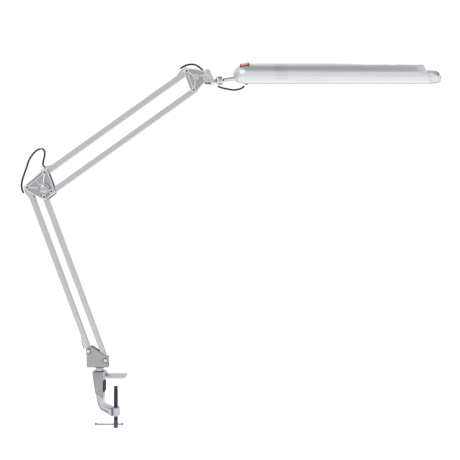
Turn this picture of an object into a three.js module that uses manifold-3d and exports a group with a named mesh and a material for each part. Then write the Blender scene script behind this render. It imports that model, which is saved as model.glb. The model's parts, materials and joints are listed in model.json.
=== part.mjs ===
// Swing arm desk lamp: table clamp, two parallelogram arm stages of square tube, a ball joint and a long slim head.
// Millimetres, +Z up. The origin lies on the clamp screw's axis at the underside of the upper jaw.
// +X points over the table towards the head, and the arm moves in the plane Y = 0.
import * as THREE from "three";
import { mergeVertices } from "three/addons/utils/BufferGeometryUtils.js";
import Module from "manifold-3d";

const wasm = await Module();
wasm.setup();

// ---- driving dimensions ----
const GAP = 0.3; // between pieces that touch
const RUNNING_GAP = 0.5; // between pieces that turn past each other

// clamp
const JAW_REACH = 25;
const JAW_WIDTH = 40;
const JAW_THICK = 5;
const SPINE_INNER_X = -27;
const SPINE_WIDTH = 30;
const CLAMP_TOP = 15;
const CLAMP_THROAT = 62;
const SCREW_RADIUS = 5;
const SCREW_TOP = -26;
const SCREW_LENGTH = 91;
const TIP_CAP_HEIGHT = 5;
const BOSS_RADIUS = 10;
const BOSS_TOP = -69;
const BOSS_HEIGHT = 20;
const BUFFER_HEIGHT = 24;
const BUFFER_THICK = 3;
const BAR_RADIUS = 2;
const BAR_LENGTH = 61;
const BAR_SHIFT = -15.5;
const BAR_DROP = 8;
const KNOB_RADIUS = 3.2;

// base bracket and its swivel
const SWIVEL_X = -37;
const SWIVEL_RADIUS = 5;
const SWIVEL_DEPTH = 20;
const BUSH_WALL = 2;
const BUSH_FLANGE_RADIUS = 9.8;
const BUSH_FLANGE_HEIGHT = 7;
const BRACKET_BOTTOM = CLAMP_TOP + BUSH_FLANGE_HEIGHT + 2 * RUNNING_GAP;
const SHEET = 1.5;

// arms
const ARM_LENGTH = 400;
const TUBE = 12;
const TUBE_WALL = 1;
const TUBE_PAST_PIN = 7;
const LOWER_LEAN = THREE.MathUtils.degToRad(-20.4);
const UPPER_LEAN = THREE.MathUtils.degToRad(54.5);
const BASE_PIN = [-61.1, BRACKET_BOTTOM + 38.6];
const LOWER_PIN_STEP = [38.5, -21.5];
const UPPER_PIN_STEP = [15.8, -43.4];
const ELBOW_STEP = [39.1, 34.4];
const PIN_RADIUS = 2.5;
const PIN_HEAD_RADIUS = 4.6;
const PIN_HEAD_HEIGHT = 2.2;
const BUSH_LENGTH = 22;
const SPRING_WIRE = 0.7; // half the wire's thickness
const SPRING_CLEARANCE = 0.9;
const SPRING_RADIUS = TUBE / 2 - TUBE_WALL - SPRING_WIRE - SPRING_CLEARANCE;
const SPRING_LENGTH = 250;
const SPRING_TURNS = 16;
const GUIDE_LENGTH = 28;
const GUIDE_WIDTH = 8;
const GUIDE_SHEET = 1.5;
const GUIDE_LIFT = 4;

// knuckles at the elbow and the wrist
const CHEEK_CLEARANCE = 1.2;
const CHEEK_INNER = TUBE / 2 + CHEEK_CLEARANCE;
const CHEEK = 2;
const LOBE_RADIUS = 7.5;
const CAP_OFFSET = [34.7, -1.6]; // friction cap's centre from the first elbow pin
const CAP_RADIUS = 12.5;
const CAP_HEIGHT = 5;
const BOLT_RADIUS = 3;
const SPACER_RADIUS = 5;
const TILT_STEP = [47.7, -9.0]; // tilt screw from the first wrist pin
const TILT_LOBE_RADIUS = 6.5;
const WRIST_ROUND_STEP = [17.5, -15];
const WRIST_ROUND_RADIUS = 20.5;

// neck, ball joint and rod
const EAR = 2.4;
const EAR_RADIUS = 8;
const STEM_STEP = [10.5, -13];
const STEM_RADIUS = 5;
const BALL_STEP = [26.5, -10.8];
const BALL_RADIUS = 6;
const BARREL_RADIUS = 10;
const BARREL_BACK = 9;
const BARREL_FRONT = 8;
const ROD_NECK_RADIUS = 3;
const ROD_RADIUS = 4.6;
const ROD_LENGTH = 45.5; // ball's centre to the hinge pin in the head
const ROD_RISE = THREE.MathUtils.degToRad(7.6);

// head
const HEAD_STEP = [-13.5, 5.8]; // start of the head's axis from the hinge pin
const HEAD_ROLL = THREE.MathUtils.degToRad(35);
const HEAD_LENGTH = 452;
const HEAD_HALF_WIDTH = 29;
const HEAD_TOP = 27;
const HEAD_BOTTOM = -9;
const HEAD_WALL = 2;
const DOME_LENGTH = 34;
const END_LEAN = THREE.MathUtils.degToRad(24);
const FACET_SLOPE = THREE.MathUtils.degToRad(18);
const FACET_START = HEAD_LENGTH - 52;
const LENS_START = 46;
const LENS_END = HEAD_LENGTH - 14;
const LENS_THICK = 2;
const SLOT_WIDTH = 17;
const SLOT_LENGTH = 27;
const HINGE_PIN_RADIUS = 2;
const HINGE_PIN_LENGTH = 22;
const SWITCH_LENGTH = 18;
const SWITCH_WIDTH = 13;
const SWITCH_HEIGHT = 7;
const SWITCH_X = 27;
const SWITCH_FRAME = 1.2;
const HANDLE_REACH = 27;
const HANDLE_HALF_WIDTH = 22;
const HANDLE_STRAP = 4;
const HANDLE_HEIGHT = 16;
const HANDLE_CORNER = 17;
const LAMP_RADIUS = 6.2;
const LAMP_SPACING = 15;
const BALLAST_LENGTH = 78;
const CABLE_RADIUS = 2.1;

// Cable routes, chosen by hand. The first three start from the outer face of a tube at its pin, the fourth from
// the ball's centre and the last from the hinge pin.
const ELBOW_CABLE_LOWER = [
  [-6.4, -10.4], [-10.4, -0.4], [-11, 11.6], [-8, 24.6], [0.2, 48.1], [6.5, 66.6], [15.7, 80.3], [24, 88.3],
];
const CABLE_SEAM = 2.1; // from the lower elbow cable's end to the upper one's start
const ELBOW_CABLE_UPPER = [
  [-6.5, 51], [-1.6, 48.2], [0.9, 42.7], [0.7, 35.2], [-1.4, 25.2], [-3.1, 17.2], [-2.1, 11.7], [1.4, 8.2],
];
const WRIST_CABLE = [
  [-11.5, 3.1], [-6.2, 6.9], [2.8, 11.3], [13.3, 12.9], [21.3, 11.9], [29.3, 7.9], [36.3, 2.4], [40.3, -2.1],
];
const HEAD_CABLE_ROD = [[-3, -13.1], [0.6, -14.7], [7.6, -17], [16.6, -18.8], [28.2, -21]];
const HEAD_CABLE_HEAD = [[-16.4, 0, -27.1], [-10.5, -0.3, -27.5], [-4.5, -1, -27], [6.1, -3, -24.4], [12.9, -5, -19.4]];

const material = (color, roughness, metalness) =>
  new THREE.MeshStandardMaterial({ color, roughness, metalness });
const SILVER = [0xc4c4c9, 0.38, 0.75];
const SHEET_GREY = [0xa6a6a8, 0.5, 0.6];
const CAST = [0xcacad0, 0.32, 0.8];
const STEEL = [0xb8bcc2, 0.28, 0.95];
const DARK_STEEL = [0x2b333c, 0.3, 0.9];
const BLACK = [0x15161a, 0.55, 0];
const HEAD_SILVER = [0xcfd0d4, 0.4, 0.5];
const WHITE = [0xf1f1ee, 0.4, 0];
const ORANGE = [0xe1562d, 0.35, 0];

// ---- small helpers ----
const lamp = new THREE.Group();

// A closed geometry as a solid that can be joined or cut.
function solid(geometry, matrix) {
  const bare = geometry.clone();
  for (const name of ["normal", "uv"]) bare.deleteAttribute(name);
  if (matrix) bare.applyMatrix4(matrix);
  const merged = mergeVertices(bare, 1e-4);
  return new wasm.Manifold(
    new wasm.Mesh({
      numProp: 3,
      vertProperties: merged.attributes.position.array,
      triVerts: new Uint32Array(merged.index.array),
    }),
  );
}

function geometryOf(manifold) {
  const mesh = manifold.getMesh();
  const geometry = new THREE.BufferGeometry();
  geometry.setAttribute("position", new THREE.BufferAttribute(mesh.vertProperties, 3));
  geometry.setIndex(new THREE.BufferAttribute(mesh.triVerts, 1));
  geometry.computeVertexNormals();
  return geometry;
}

function add(parent, name, shape, look) {
  const geometry = shape.isBufferGeometry ? shape : geometryOf(shape);
  const mesh = new THREE.Mesh(geometry, material(...look));
  mesh.name = name;
  parent.add(mesh);
  return mesh;
}

const box = (x0, x1, y0, y1, z0, z1) =>
  solid(
    new THREE.BoxGeometry(x1 - x0, y1 - y0, z1 - z0)
      .translate((x0 + x1) / 2, (y0 + y1) / 2, (z0 + z1) / 2),
  );

// Cylinder along Z, along Y, or between two points.
const post = (x, z0, z1, radius, sides = 24) =>
  solid(
    new THREE.CylinderGeometry(radius, radius, z1 - z0, sides)
      .rotateX(Math.PI / 2)
      .translate(x, 0, (z0 + z1) / 2),
  );
const cross = (x, z, y0, y1, radius, sides = 16) =>
  solid(new THREE.CylinderGeometry(radius, radius, y1 - y0, sides).translate(x, (y0 + y1) / 2, z));
const bar = (x0, x1, radius, sides = 20) =>
  solid(
    new THREE.CylinderGeometry(radius, radius, x1 - x0, sides)
      .rotateZ(Math.PI / 2)
      .translate((x0 + x1) / 2, 0, 0),
  );

// A side outline in X and Z, given its thickness between two Y values.
function sheet(shape, y0, y1, curveSegments = 8) {
  const geometry = new THREE.ExtrudeGeometry(shape, { depth: y1 - y0, bevelEnabled: false, curveSegments });
  return solid(geometry.rotateX(Math.PI / 2).translate(0, y1, 0));
}

// A solid of revolution about Z from [radius, height] pairs that start and end on the axis or close on themselves.
const turned = (pairs, sides = 24) =>
  solid(new THREE.LatheGeometry(pairs.map(([r, h]) => new THREE.Vector2(r, h)), sides).rotateX(Math.PI / 2));

const offset = ([x, z], [dx, dz]) => [x + dx, z + dz];
const along = ([x, z], lean, distance) => [x + distance * Math.sin(lean), z + distance * Math.cos(lean)];

// The outline around circles [x, z, radius] listed anticlockwise, joined by their outer tangents.
function lobes(circles) {
  const shape = new THREE.Shape();
  const angles = circles.map(([x, z, r], i) => {
    const [nx, nz, nr] = circles[(i + 1) % circles.length];
    const distance = Math.hypot(nx - x, nz - z);
    return Math.atan2(nz - z, nx - x) - Math.acos((r - nr) / distance);
  });
  circles.forEach(([x, z, r], i) => {
    const from = angles[(i + circles.length - 1) % circles.length];
    shape.absarc(x, z, r, from, angles[i], false);
  });
  shape.closePath();
  return shape;
}

// A pin along Y through both cheeks, with a domed head at each end.
function crossPin([x, z], radius = PIN_RADIUS, headRadius = PIN_HEAD_RADIUS) {
  const face = CHEEK_INNER + CHEEK + GAP;
  const tip = face + PIN_HEAD_HEIGHT;
  const half = [
    [radius, 0], [radius, face], [headRadius, face], [headRadius * 0.85, face + PIN_HEAD_HEIGHT * 0.5],
  ];
  const upper = [...half, [0, tip]];
  const lower = upper.map(([r, h]) => [r, -h]).reverse();
  return turned([...lower, ...upper.slice(1)], 16)
    .rotate([90, 0, 0])
    .translate([x, 0, z]);
}

const cheekPlate = (circles, side) => {
  const [near, far] = [side * CHEEK_INNER, side * (CHEEK_INNER + CHEEK)];
  return sheet(lobes(circles), Math.min(near, far), Math.max(near, far), 6);
};

// The boss of a back plate that keeps the two plates apart.
const plateBoss = ([x, z]) => cross(x, z, -CHEEK_INNER + GAP, CHEEK_INNER + CHEEK / 2, SPACER_RADIUS);

// ---- clamp ----
const spineOuter = SPINE_INNER_X - 16;
const buffer = { z0: -BUFFER_HEIGHT - 8, z1: -8 };

function clampFrame() {
  const side = new THREE.Shape();
  side.moveTo(SPINE_INNER_X, -2);
  side.lineTo(SPINE_INNER_X, -CLAMP_THROAT + 6);
  side.quadraticCurveTo(SPINE_INNER_X, -CLAMP_THROAT, SPINE_INNER_X + 5, -CLAMP_THROAT - 2);
  side.lineTo(-BOSS_RADIUS + 2, BOSS_TOP - 1);
  side.lineTo(-BOSS_RADIUS + 3, BOSS_TOP - BOSS_HEIGHT + 1);
  side.lineTo(SPINE_INNER_X - 3, BOSS_TOP - 5);
  side.quadraticCurveTo(spineOuter + 3, -CLAMP_THROAT - 3, spineOuter - 1, -38);
  side.quadraticCurveTo(spineOuter - 6, -16, spineOuter - 9, CLAMP_TOP);
  side.lineTo(SWIVEL_X + BUSH_FLANGE_RADIUS + 2, CLAMP_TOP);
  side.lineTo(SPINE_INNER_X + 6, JAW_THICK);
  side.lineTo(SPINE_INNER_X + 6, 0);
  side.lineTo(SPINE_INNER_X, 0);
  side.closePath();
  const spine = sheet(side, -SPINE_WIDTH / 2, SPINE_WIDTH / 2, 8);

  const half = JAW_WIDTH / 2;
  const jawOutline = new THREE.Shape();
  jawOutline.moveTo(SPINE_INNER_X - 1, -SPINE_WIDTH / 2);
  jawOutline.quadraticCurveTo(SPINE_INNER_X + 8, -half, SPINE_INNER_X + 16, -half);
  jawOutline.lineTo(JAW_REACH - 6, -half);
  jawOutline.quadraticCurveTo(JAW_REACH, -half, JAW_REACH, -half + 6);
  jawOutline.lineTo(JAW_REACH, half - 6);
  jawOutline.quadraticCurveTo(JAW_REACH, half, JAW_REACH - 6, half);
  jawOutline.lineTo(SPINE_INNER_X + 16, half);
  jawOutline.quadraticCurveTo(SPINE_INNER_X + 8, half, SPINE_INNER_X - 1, SPINE_WIDTH / 2);
  jawOutline.closePath();
  const jaw = solid(new THREE.ExtrudeGeometry(jawOutline, { depth: JAW_THICK, bevelEnabled: false, curveSegments: 5 }));
  const lip = box(JAW_REACH - 4, JAW_REACH, -half + 6, half - 6, JAW_THICK - 1, JAW_THICK + 3);
  const boss = post(0, BOSS_TOP - BOSS_HEIGHT, BOSS_TOP, BOSS_RADIUS);

  const screwBore = post(0, BOSS_TOP - BOSS_HEIGHT - 1, BOSS_TOP + 1, SCREW_RADIUS + GAP * 1.5);
  const bushBore = post(SWIVEL_X, CLAMP_TOP - SWIVEL_DEPTH, CLAMP_TOP + 1, SWIVEL_RADIUS + BUSH_WALL + 2 * GAP);
  const web = new THREE.Shape();
  web.moveTo(SPINE_INNER_X - 4, -46);
  web.lineTo(SPINE_INNER_X - 4, -CLAMP_THROAT);
  web.lineTo(-BOSS_RADIUS - 4, BOSS_TOP - 6);
  web.lineTo(-BOSS_RADIUS - 4, BOSS_TOP - 10);
  web.lineTo(SPINE_INNER_X - 6, BOSS_TOP);
  web.lineTo(spineOuter + 5, -48);
  web.closePath();
  const recess = 4;
  return spine
    .add(jaw)
    .add(lip)
    .add(boss)
    .subtract(screwBore)
    .subtract(bushBore)
    .subtract(sheet(web, -SPINE_WIDTH / 2 - 1, -SPINE_WIDTH / 2 + recess))
    .subtract(sheet(web, SPINE_WIDTH / 2 - recess, SPINE_WIDTH / 2 + 1));
}

function buildClamp() {
  add(lamp, "clamp_frame", clampFrame(), SILVER);
  const inner = SWIVEL_RADIUS + GAP;
  const outer = inner + BUSH_WALL;
  const flangeTop = CLAMP_TOP + GAP + BUSH_FLANGE_HEIGHT;
  const bush = turned([
    [inner, CLAMP_TOP - SWIVEL_DEPTH + GAP], [outer, CLAMP_TOP - SWIVEL_DEPTH + GAP], [outer, CLAMP_TOP + GAP],
    [BUSH_FLANGE_RADIUS, CLAMP_TOP + GAP], [BUSH_FLANGE_RADIUS, flangeTop], [inner, flangeTop],
    [inner, CLAMP_TOP - SWIVEL_DEPTH + GAP],
  ]);
  add(lamp, "swivel_bush", bush.translate([SWIVEL_X, 0, 0]), SHEET_GREY);
  const pad = box(
    SPINE_INNER_X + GAP, SPINE_INNER_X + GAP + BUFFER_THICK, -SPINE_WIDTH / 2 + 4, SPINE_WIDTH / 2 - 4,
    buffer.z0, buffer.z1,
  );
  add(lamp, "edge_buffer", pad, BLACK);

  const cap = turned([
    [0, SCREW_TOP + GAP], [SCREW_RADIUS, SCREW_TOP + GAP], [SCREW_RADIUS, SCREW_TOP + TIP_CAP_HEIGHT - 1],
    [SCREW_RADIUS - 1, SCREW_TOP + TIP_CAP_HEIGHT], [0, SCREW_TOP + TIP_CAP_HEIGHT],
  ]);
  add(lamp, "screw_tip_cap", cap, BLACK);
  const barZ = SCREW_TOP - SCREW_LENGTH + BAR_DROP;
  const screw = post(0, SCREW_TOP - SCREW_LENGTH, SCREW_TOP, SCREW_RADIUS);
  const barHole = bar(-SCREW_RADIUS - 1, SCREW_RADIUS + 1, BAR_RADIUS + GAP).translate([0, 0, barZ]);
  add(lamp, "clamp_screw", screw.subtract(barHole), DARK_STEEL);
  const knob = (x) => solid(new THREE.SphereGeometry(KNOB_RADIUS, 14, 8).translate(x, 0, 0));
  const tommy = bar(-BAR_LENGTH / 2, BAR_LENGTH / 2, BAR_RADIUS, 14)
    .add(knob(-BAR_LENGTH / 2))
    .add(knob(BAR_LENGTH / 2))
    .translate([BAR_SHIFT, 0, barZ]);
  add(lamp, "tommy_bar", tommy, STEEL);
}

// ---- base bracket ----
function buildBracket() {
  const [ax, az] = BASE_PIN;
  const [bx, bz] = offset(BASE_PIN, LOWER_PIN_STEP);
  const side = new THREE.Shape();
  side.moveTo(ax - 4.5, BRACKET_BOTTOM);
  side.lineTo(bx + 6, BRACKET_BOTTOM);
  side.lineTo(bx + 6, bz + 5);
  side.quadraticCurveTo(bx + 6, bz + 9.5, bx - 1, bz + 11);
  side.lineTo(ax + 7, az + 10);
  side.quadraticCurveTo(ax - 2, az + 11, ax - 5.5, az + 2);
  side.closePath();
  const outerHalf = CHEEK_INNER + SHEET;
  const block = sheet(side, -outerHalf, outerHalf);
  const channel = box(ax - 20, bx + 20, -CHEEK_INNER, CHEEK_INNER, BRACKET_BOTTOM + SHEET, az + 30);
  let bracket = block.subtract(channel);
  for (const [x, z] of [[ax, az], [bx, bz]]) {
    bracket = bracket.subtract(cross(x, z, -outerHalf - 1, outerHalf + 1, PIN_RADIUS + GAP));
  }
  bracket = bracket.subtract(post(SWIVEL_X, BRACKET_BOTTOM - 1, BRACKET_BOTTOM + SHEET + 1, SWIVEL_RADIUS - 1 + GAP));
  add(lamp, "base_bracket", bracket, SHEET_GREY);

  const sheetTop = BRACKET_BOTTOM + SHEET + GAP;
  const pin = turned([
    [0, CLAMP_TOP - SWIVEL_DEPTH + 1], [SWIVEL_RADIUS, CLAMP_TOP - SWIVEL_DEPTH + 1],
    [SWIVEL_RADIUS, BRACKET_BOTTOM - GAP], [SWIVEL_RADIUS - 1, BRACKET_BOTTOM - GAP],
    [SWIVEL_RADIUS - 1, sheetTop], [SWIVEL_RADIUS + 1, sheetTop], [SWIVEL_RADIUS, sheetTop + 1.5], [0, sheetTop + 2],
  ]);
  add(lamp, "swivel_pin", pin.translate([SWIVEL_X, 0, 0]), STEEL);
  add(lamp, "base_rivet_rear", crossPin([ax, az]), STEEL);
  add(lamp, "base_rivet_front", crossPin([bx, bz]), STEEL);
}

// ---- arms ----
// One square tube whose group stands on its first pin with local Z along the tube.
function buildTube(name, pin, lean, { spring = false, guideSide = 0 } = {}) {
  const arm = new THREE.Group();
  arm.position.set(pin[0], 0, pin[1]);
  arm.rotation.y = lean;
  lamp.add(arm);
  const half = TUBE / 2;
  const cavity = half - TUBE_WALL;
  const start = -TUBE_PAST_PIN;
  const end = ARM_LENGTH + TUBE_PAST_PIN;
  let tube = box(-half, half, -half, half, start, end).subtract(
    box(-cavity, cavity, -cavity, cavity, start - 1, end + 1),
  );
  const plug = cavity - GAP;
  const bore = PIN_RADIUS + GAP;
  for (const [place, z, z0] of [["base", 0, start + 1], ["end", ARM_LENGTH, end - 1 - BUSH_LENGTH]]) {
    tube = tube.subtract(cross(0, z, -half - 1, half + 1, bore));
    if (guideSide) continue; // the cable runs inside this tube
    const bush = box(-plug, plug, -plug, plug, z0, z0 + BUSH_LENGTH).subtract(cross(0, z, -half, half, bore));
    add(arm, `${name}_${place}_bush`, bush, BLACK);
  }
  add(arm, `${name}_tube`, tube, SILVER);
  if (spring) add(arm, `${name}_spring`, springCoil(), STEEL);
  if (guideSide) {
    for (const [place, z, flip] of [["base", 20, 1], ["end", ARM_LENGTH - 20, -1]]) {
      add(arm, `${name}_${place}_guide`, cableGuide(guideSide, flip).translate([0, 0, z]), SILVER);
    }
  }
}

// The balance spring, drawn with few turns.
function springCoil() {
  const step = (2 * Math.PI) / 8;
  const points = [];
  for (let i = 0; i <= SPRING_TURNS * 8; i += 1) {
    const angle = i * step;
    const z = (ARM_LENGTH - SPRING_LENGTH) / 2 + (SPRING_LENGTH * i) / (SPRING_TURNS * 8);
    points.push(new THREE.Vector3(SPRING_RADIUS * Math.cos(angle), SPRING_RADIUS * Math.sin(angle), z));
  }
  const path = new THREE.CatmullRomCurve3(points);
  return tubeAlong(path, SPRING_WIRE, points.length - 1, 4);
}

function tubeAlong(path, radius, steps, sides = 8) {
  const section = new THREE.Shape();
  for (let i = 0; i < sides; i += 1) {
    const angle = (2 * Math.PI * i) / sides;
    section[i ? "lineTo" : "moveTo"](radius * Math.cos(angle), radius * Math.sin(angle));
  }
  section.closePath();
  return solid(new THREE.ExtrudeGeometry(section, { extrudePath: path, steps, bevelEnabled: false }));
}

// A bent strip on the tube's outer face that carries the cable, its free lip turned outwards.
function cableGuide(side, flip) {
  const base = TUBE / 2 + GAP;
  const half = GUIDE_LENGTH / 2;
  const outline = new THREE.Shape();
  const point = (x, z, first) => outline[first ? "moveTo" : "lineTo"](side * x, flip * z);
  point(base, half, true);
  point(base, half - 6);
  point(base + GUIDE_LIFT - GUIDE_SHEET, half - 9);
  point(base + GUIDE_LIFT - GUIDE_SHEET, -half + 3);
  point(base + GUIDE_LIFT, -half);
  point(base + GUIDE_LIFT + GUIDE_SHEET, -half + 1);
  point(base + GUIDE_LIFT, -half + 5);
  point(base + GUIDE_LIFT, half - 9);
  point(base + GUIDE_SHEET, half - 5);
  point(base + GUIDE_SHEET, half);
  outline.closePath();
  return sheet(outline, -GUIDE_WIDTH / 2, GUIDE_WIDTH / 2);
}

const lowerFrontPin = offset(BASE_PIN, LOWER_PIN_STEP);
const elbowPins = {
  rear: along(BASE_PIN, LOWER_LEAN, ARM_LENGTH),
  front: along(lowerFrontPin, LOWER_LEAN, ARM_LENGTH),
};
elbowPins.top = offset(elbowPins.rear, ELBOW_STEP);
elbowPins.bottom = offset(elbowPins.top, UPPER_PIN_STEP);
const wristPins = {
  top: along(elbowPins.top, UPPER_LEAN, ARM_LENGTH),
  bottom: along(elbowPins.bottom, UPPER_LEAN, ARM_LENGTH),
};

function buildArms() {
  buildTube("lower_rear", BASE_PIN, LOWER_LEAN, { guideSide: -1 });
  buildTube("lower_front", lowerFrontPin, LOWER_LEAN, { spring: true });
  buildTube("upper_top", elbowPins.top, UPPER_LEAN, { guideSide: -1 });
  buildTube("upper_bottom", elbowPins.bottom, UPPER_LEAN, { spring: true });
}

// ---- knuckles ----
const boltAt = offset(elbowPins.rear, CAP_OFFSET);
const tiltAt = offset(wristPins.top, TILT_STEP);

function buildElbow() {
  const lobe = ([x, z]) => [x, z, LOBE_RADIUS];
  const outline = [elbowPins.rear, elbowPins.front, elbowPins.bottom, elbowPins.top].map(lobe);
  const pins = Object.entries(elbowPins);
  for (const [place, side] of [["front", -1], ["back", 1]]) {
    let plate = cheekPlate(outline, side);
    for (const [, [x, z]] of pins) plate = plate.subtract(cross(x, z, -20, 20, PIN_RADIUS + GAP));
    if (side > 0) plate = plate.add(plateBoss(boltAt));
    plate = plate.subtract(cross(...boltAt, -20, 20, BOLT_RADIUS + GAP));
    add(lamp, `elbow_plate_${place}`, plate, CAST);
  }
  for (const [place, pin] of pins) add(lamp, `elbow_pin_${place}`, crossPin(pin), DARK_STEEL);
  const face = CHEEK_INNER + CHEEK + GAP;
  const cap = turned([
    [0, face], [CAP_RADIUS, face], [CAP_RADIUS - 1, face + CAP_HEIGHT * 0.6], [CAP_RADIUS - 5, face + CAP_HEIGHT],
    [0, face + CAP_HEIGHT],
  ]);
  add(lamp, "elbow_friction_cap", cap.rotate([90, 0, 0]).translate([boltAt[0], 0, boltAt[1]]), CAST);
  const bolt = turned([
    [0, face - GAP - 0.5], [BOLT_RADIUS, face - GAP - 0.5], [BOLT_RADIUS, -face], [BOLT_RADIUS + 2.5, -face],
    [BOLT_RADIUS + 2.5, -face - 3], [0, -face - 3],
  ].reverse(), 12);
  add(lamp, "elbow_friction_bolt", bolt.rotate([90, 0, 0]).translate([boltAt[0], 0, boltAt[1]]), STEEL);
}

function buildWrist() {
  const round = offset(wristPins.top, WRIST_ROUND_STEP);
  const outline = [
    [...wristPins.top, LOBE_RADIUS], [...wristPins.bottom, LOBE_RADIUS], [...tiltAt, TILT_LOBE_RADIUS],
    [...round, WRIST_ROUND_RADIUS],
  ];
  const holes = [wristPins.top, wristPins.bottom];
  for (const [place, side] of [["front", -1], ["back", 1]]) {
    let plate = cheekPlate(outline, side);
    for (const [x, z] of holes) plate = plate.subtract(cross(x, z, -20, 20, PIN_RADIUS + GAP));
    if (side > 0) plate = plate.add(plateBoss(tiltAt));
    plate = plate.subtract(cross(...tiltAt, -20, 20, BOLT_RADIUS + GAP));
    add(lamp, `wrist_plate_${place}`, plate, CAST);
  }
  for (const [place, pin] of Object.entries(wristPins)) {
    add(lamp, `wrist_pin_${place}`, crossPin(pin), DARK_STEEL);
  }
}

// ---- neck and ball joint ----
const earInner = CHEEK_INNER + CHEEK + RUNNING_GAP;
const earOuter = earInner + EAR;
const ballAt = offset(tiltAt, BALL_STEP);
const hingeAt = along(ballAt, Math.PI / 2 - ROD_RISE, ROD_LENGTH);
const headAt = offset(hingeAt, HEAD_STEP);

function buildNeck() {
  const stem = offset(tiltAt, STEM_STEP);
  const ear = lobes([
    [tiltAt[0] - 3, tiltAt[1] - 9, EAR_RADIUS], [...stem, STEM_RADIUS], [tiltAt[0], tiltAt[1] + 5, EAR_RADIUS],
  ]);
  const joint = new THREE.Matrix4().makeRotationY(-ROD_RISE).setPosition(ballAt[0], 0, ballAt[1]);
  const back = Math.hypot(ballAt[0] - stem[0], ballAt[1] - stem[1]);
  const stemBar = solid(
    new THREE.CylinderGeometry(STEM_RADIUS - 1, STEM_RADIUS - 1, back - BARREL_BACK - GAP, 16)
      .rotateZ(Math.PI / 2)
      .translate(-(back + BARREL_BACK + GAP) / 2, 0, 0),
    joint,
  );
  const drill = cross(...tiltAt, -20, 20, BOLT_RADIUS + GAP);
  const fork = sheet(ear, -earOuter, -earInner)
    .add(sheet(ear, earInner, earOuter))
    .add(cross(...stem, -earOuter + 0.5, earOuter - 0.5, STEM_RADIUS))
    .add(stemBar)
    .subtract(drill);
  add(lamp, "neck_fork", fork, CAST);

  const face = earOuter + GAP;
  const screw = turned([
    [0, -face - 2.4], [4, -face - 2], [4, -face], [BOLT_RADIUS, -face], [BOLT_RADIUS, face + 3], [0, face + 3],
  ], 16);
  add(lamp, "tilt_screw", screw.rotate([-90, 0, 0]).translate([tiltAt[0], 0, tiltAt[1]]), DARK_STEEL);
  const nut = solid(new THREE.CylinderGeometry(5, 5, 2.6, 6).translate(tiltAt[0], face + 1.3, tiltAt[1])).subtract(
    cross(...tiltAt, face - 1, face + 4, BOLT_RADIUS + GAP),
  );
  add(lamp, "tilt_nut", nut, STEEL);

  const swivel = new THREE.Group();
  swivel.position.set(ballAt[0], 0, ballAt[1]);
  swivel.rotation.y = -ROD_RISE;
  lamp.add(swivel);
  const seat = BALL_RADIUS + GAP;
  const lip = 5;
  const lipAt = Math.sqrt(seat * seat - lip * lip);
  const profile = [
    [0, -BARREL_BACK], [STEM_RADIUS, -BARREL_BACK], [BARREL_RADIUS - 1, -5], [BARREL_RADIUS, -1],
    [BARREL_RADIUS, 2], [BARREL_RADIUS - 1.4, BARREL_FRONT], [lip + 2.2, BARREL_FRONT], [lip, lipAt],
  ];
  for (let i = 1; i <= 6; i += 1) {
    const angle = Math.atan2(lip, lipAt) + ((Math.PI - Math.atan2(lip, lipAt)) * i) / 6;
    profile.push([i === 6 ? 0 : seat * Math.sin(angle), seat * Math.cos(angle)]);
  }
  const barrel = turned(profile).rotate([0, 90, 0]);
  add(swivel, "swivel_barrel", barrel, CAST);

  const ball = [];
  const neckAngle = Math.asin(ROD_NECK_RADIUS / BALL_RADIUS);
  for (let i = 0; i <= 7; i += 1) {
    const angle = Math.PI - ((Math.PI - neckAngle) * i) / 7;
    ball.push([i === 0 ? 0 : BALL_RADIUS * Math.sin(angle), BALL_RADIUS * Math.cos(angle)]);
  }
  const swell = BARREL_FRONT + 3.5;
  const rod = turned([
    ...ball, [ROD_NECK_RADIUS, swell - 1.5], [ROD_RADIUS, swell], [ROD_RADIUS, ROD_LENGTH + 4], [0, ROD_LENGTH + 4],
  ], 20).rotate([0, 90, 0]);
  const rolled = new THREE.Group();
  rolled.rotation.x = HEAD_ROLL;
  swivel.add(rolled);
  const pinHalf = HINGE_PIN_LENGTH / 2;
  add(rolled, "ball_rod", rod.subtract(cross(ROD_LENGTH, 0, -10, 10, HINGE_PIN_RADIUS + GAP)), STEEL);
  add(rolled, "head_hinge_pin", cross(ROD_LENGTH, 0, -pinHalf, pinHalf, HINGE_PIN_RADIUS), STEEL);
  return rolled;
}

// ---- head ----
// The head's outer form, or an inner one a wall thinner: a long dome with a round start and a slanted end.
function headForm(inset) {
  const profile = [[0, inset]];
  const steps = 9;
  for (let i = 1; i <= steps; i += 1) {
    const angle = (Math.PI / 2) * (i / steps);
    profile.push([Math.sin(angle), DOME_LENGTH - (DOME_LENGTH - inset) * Math.cos(angle)]);
  }
  profile.push([1, HEAD_LENGTH + 20], [0, HEAD_LENGTH + 20]);
  const body = turned(profile, 56)
    .rotate([0, 90, 0])
    .scale([1, HEAD_HALF_WIDTH - inset, HEAD_TOP - inset]);
  const facet = box(-inset, 200, -100, 100, 0, 100)
    .rotate([0, THREE.MathUtils.radToDeg(FACET_SLOPE), 0])
    .translate([FACET_START, 0, HEAD_TOP - inset]);
  return body.subtract(endCut(-inset)).subtract(facet);
}

// Everything past the slanted end plane, moved along the plane's normal.
const endCut = (shift) =>
  box(shift, 200, -100, 100, -100, 100)
    .rotate([0, -THREE.MathUtils.radToDeg(END_LEAN), 0])
    .translate([HEAD_LENGTH, 0, HEAD_BOTTOM]);

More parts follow.
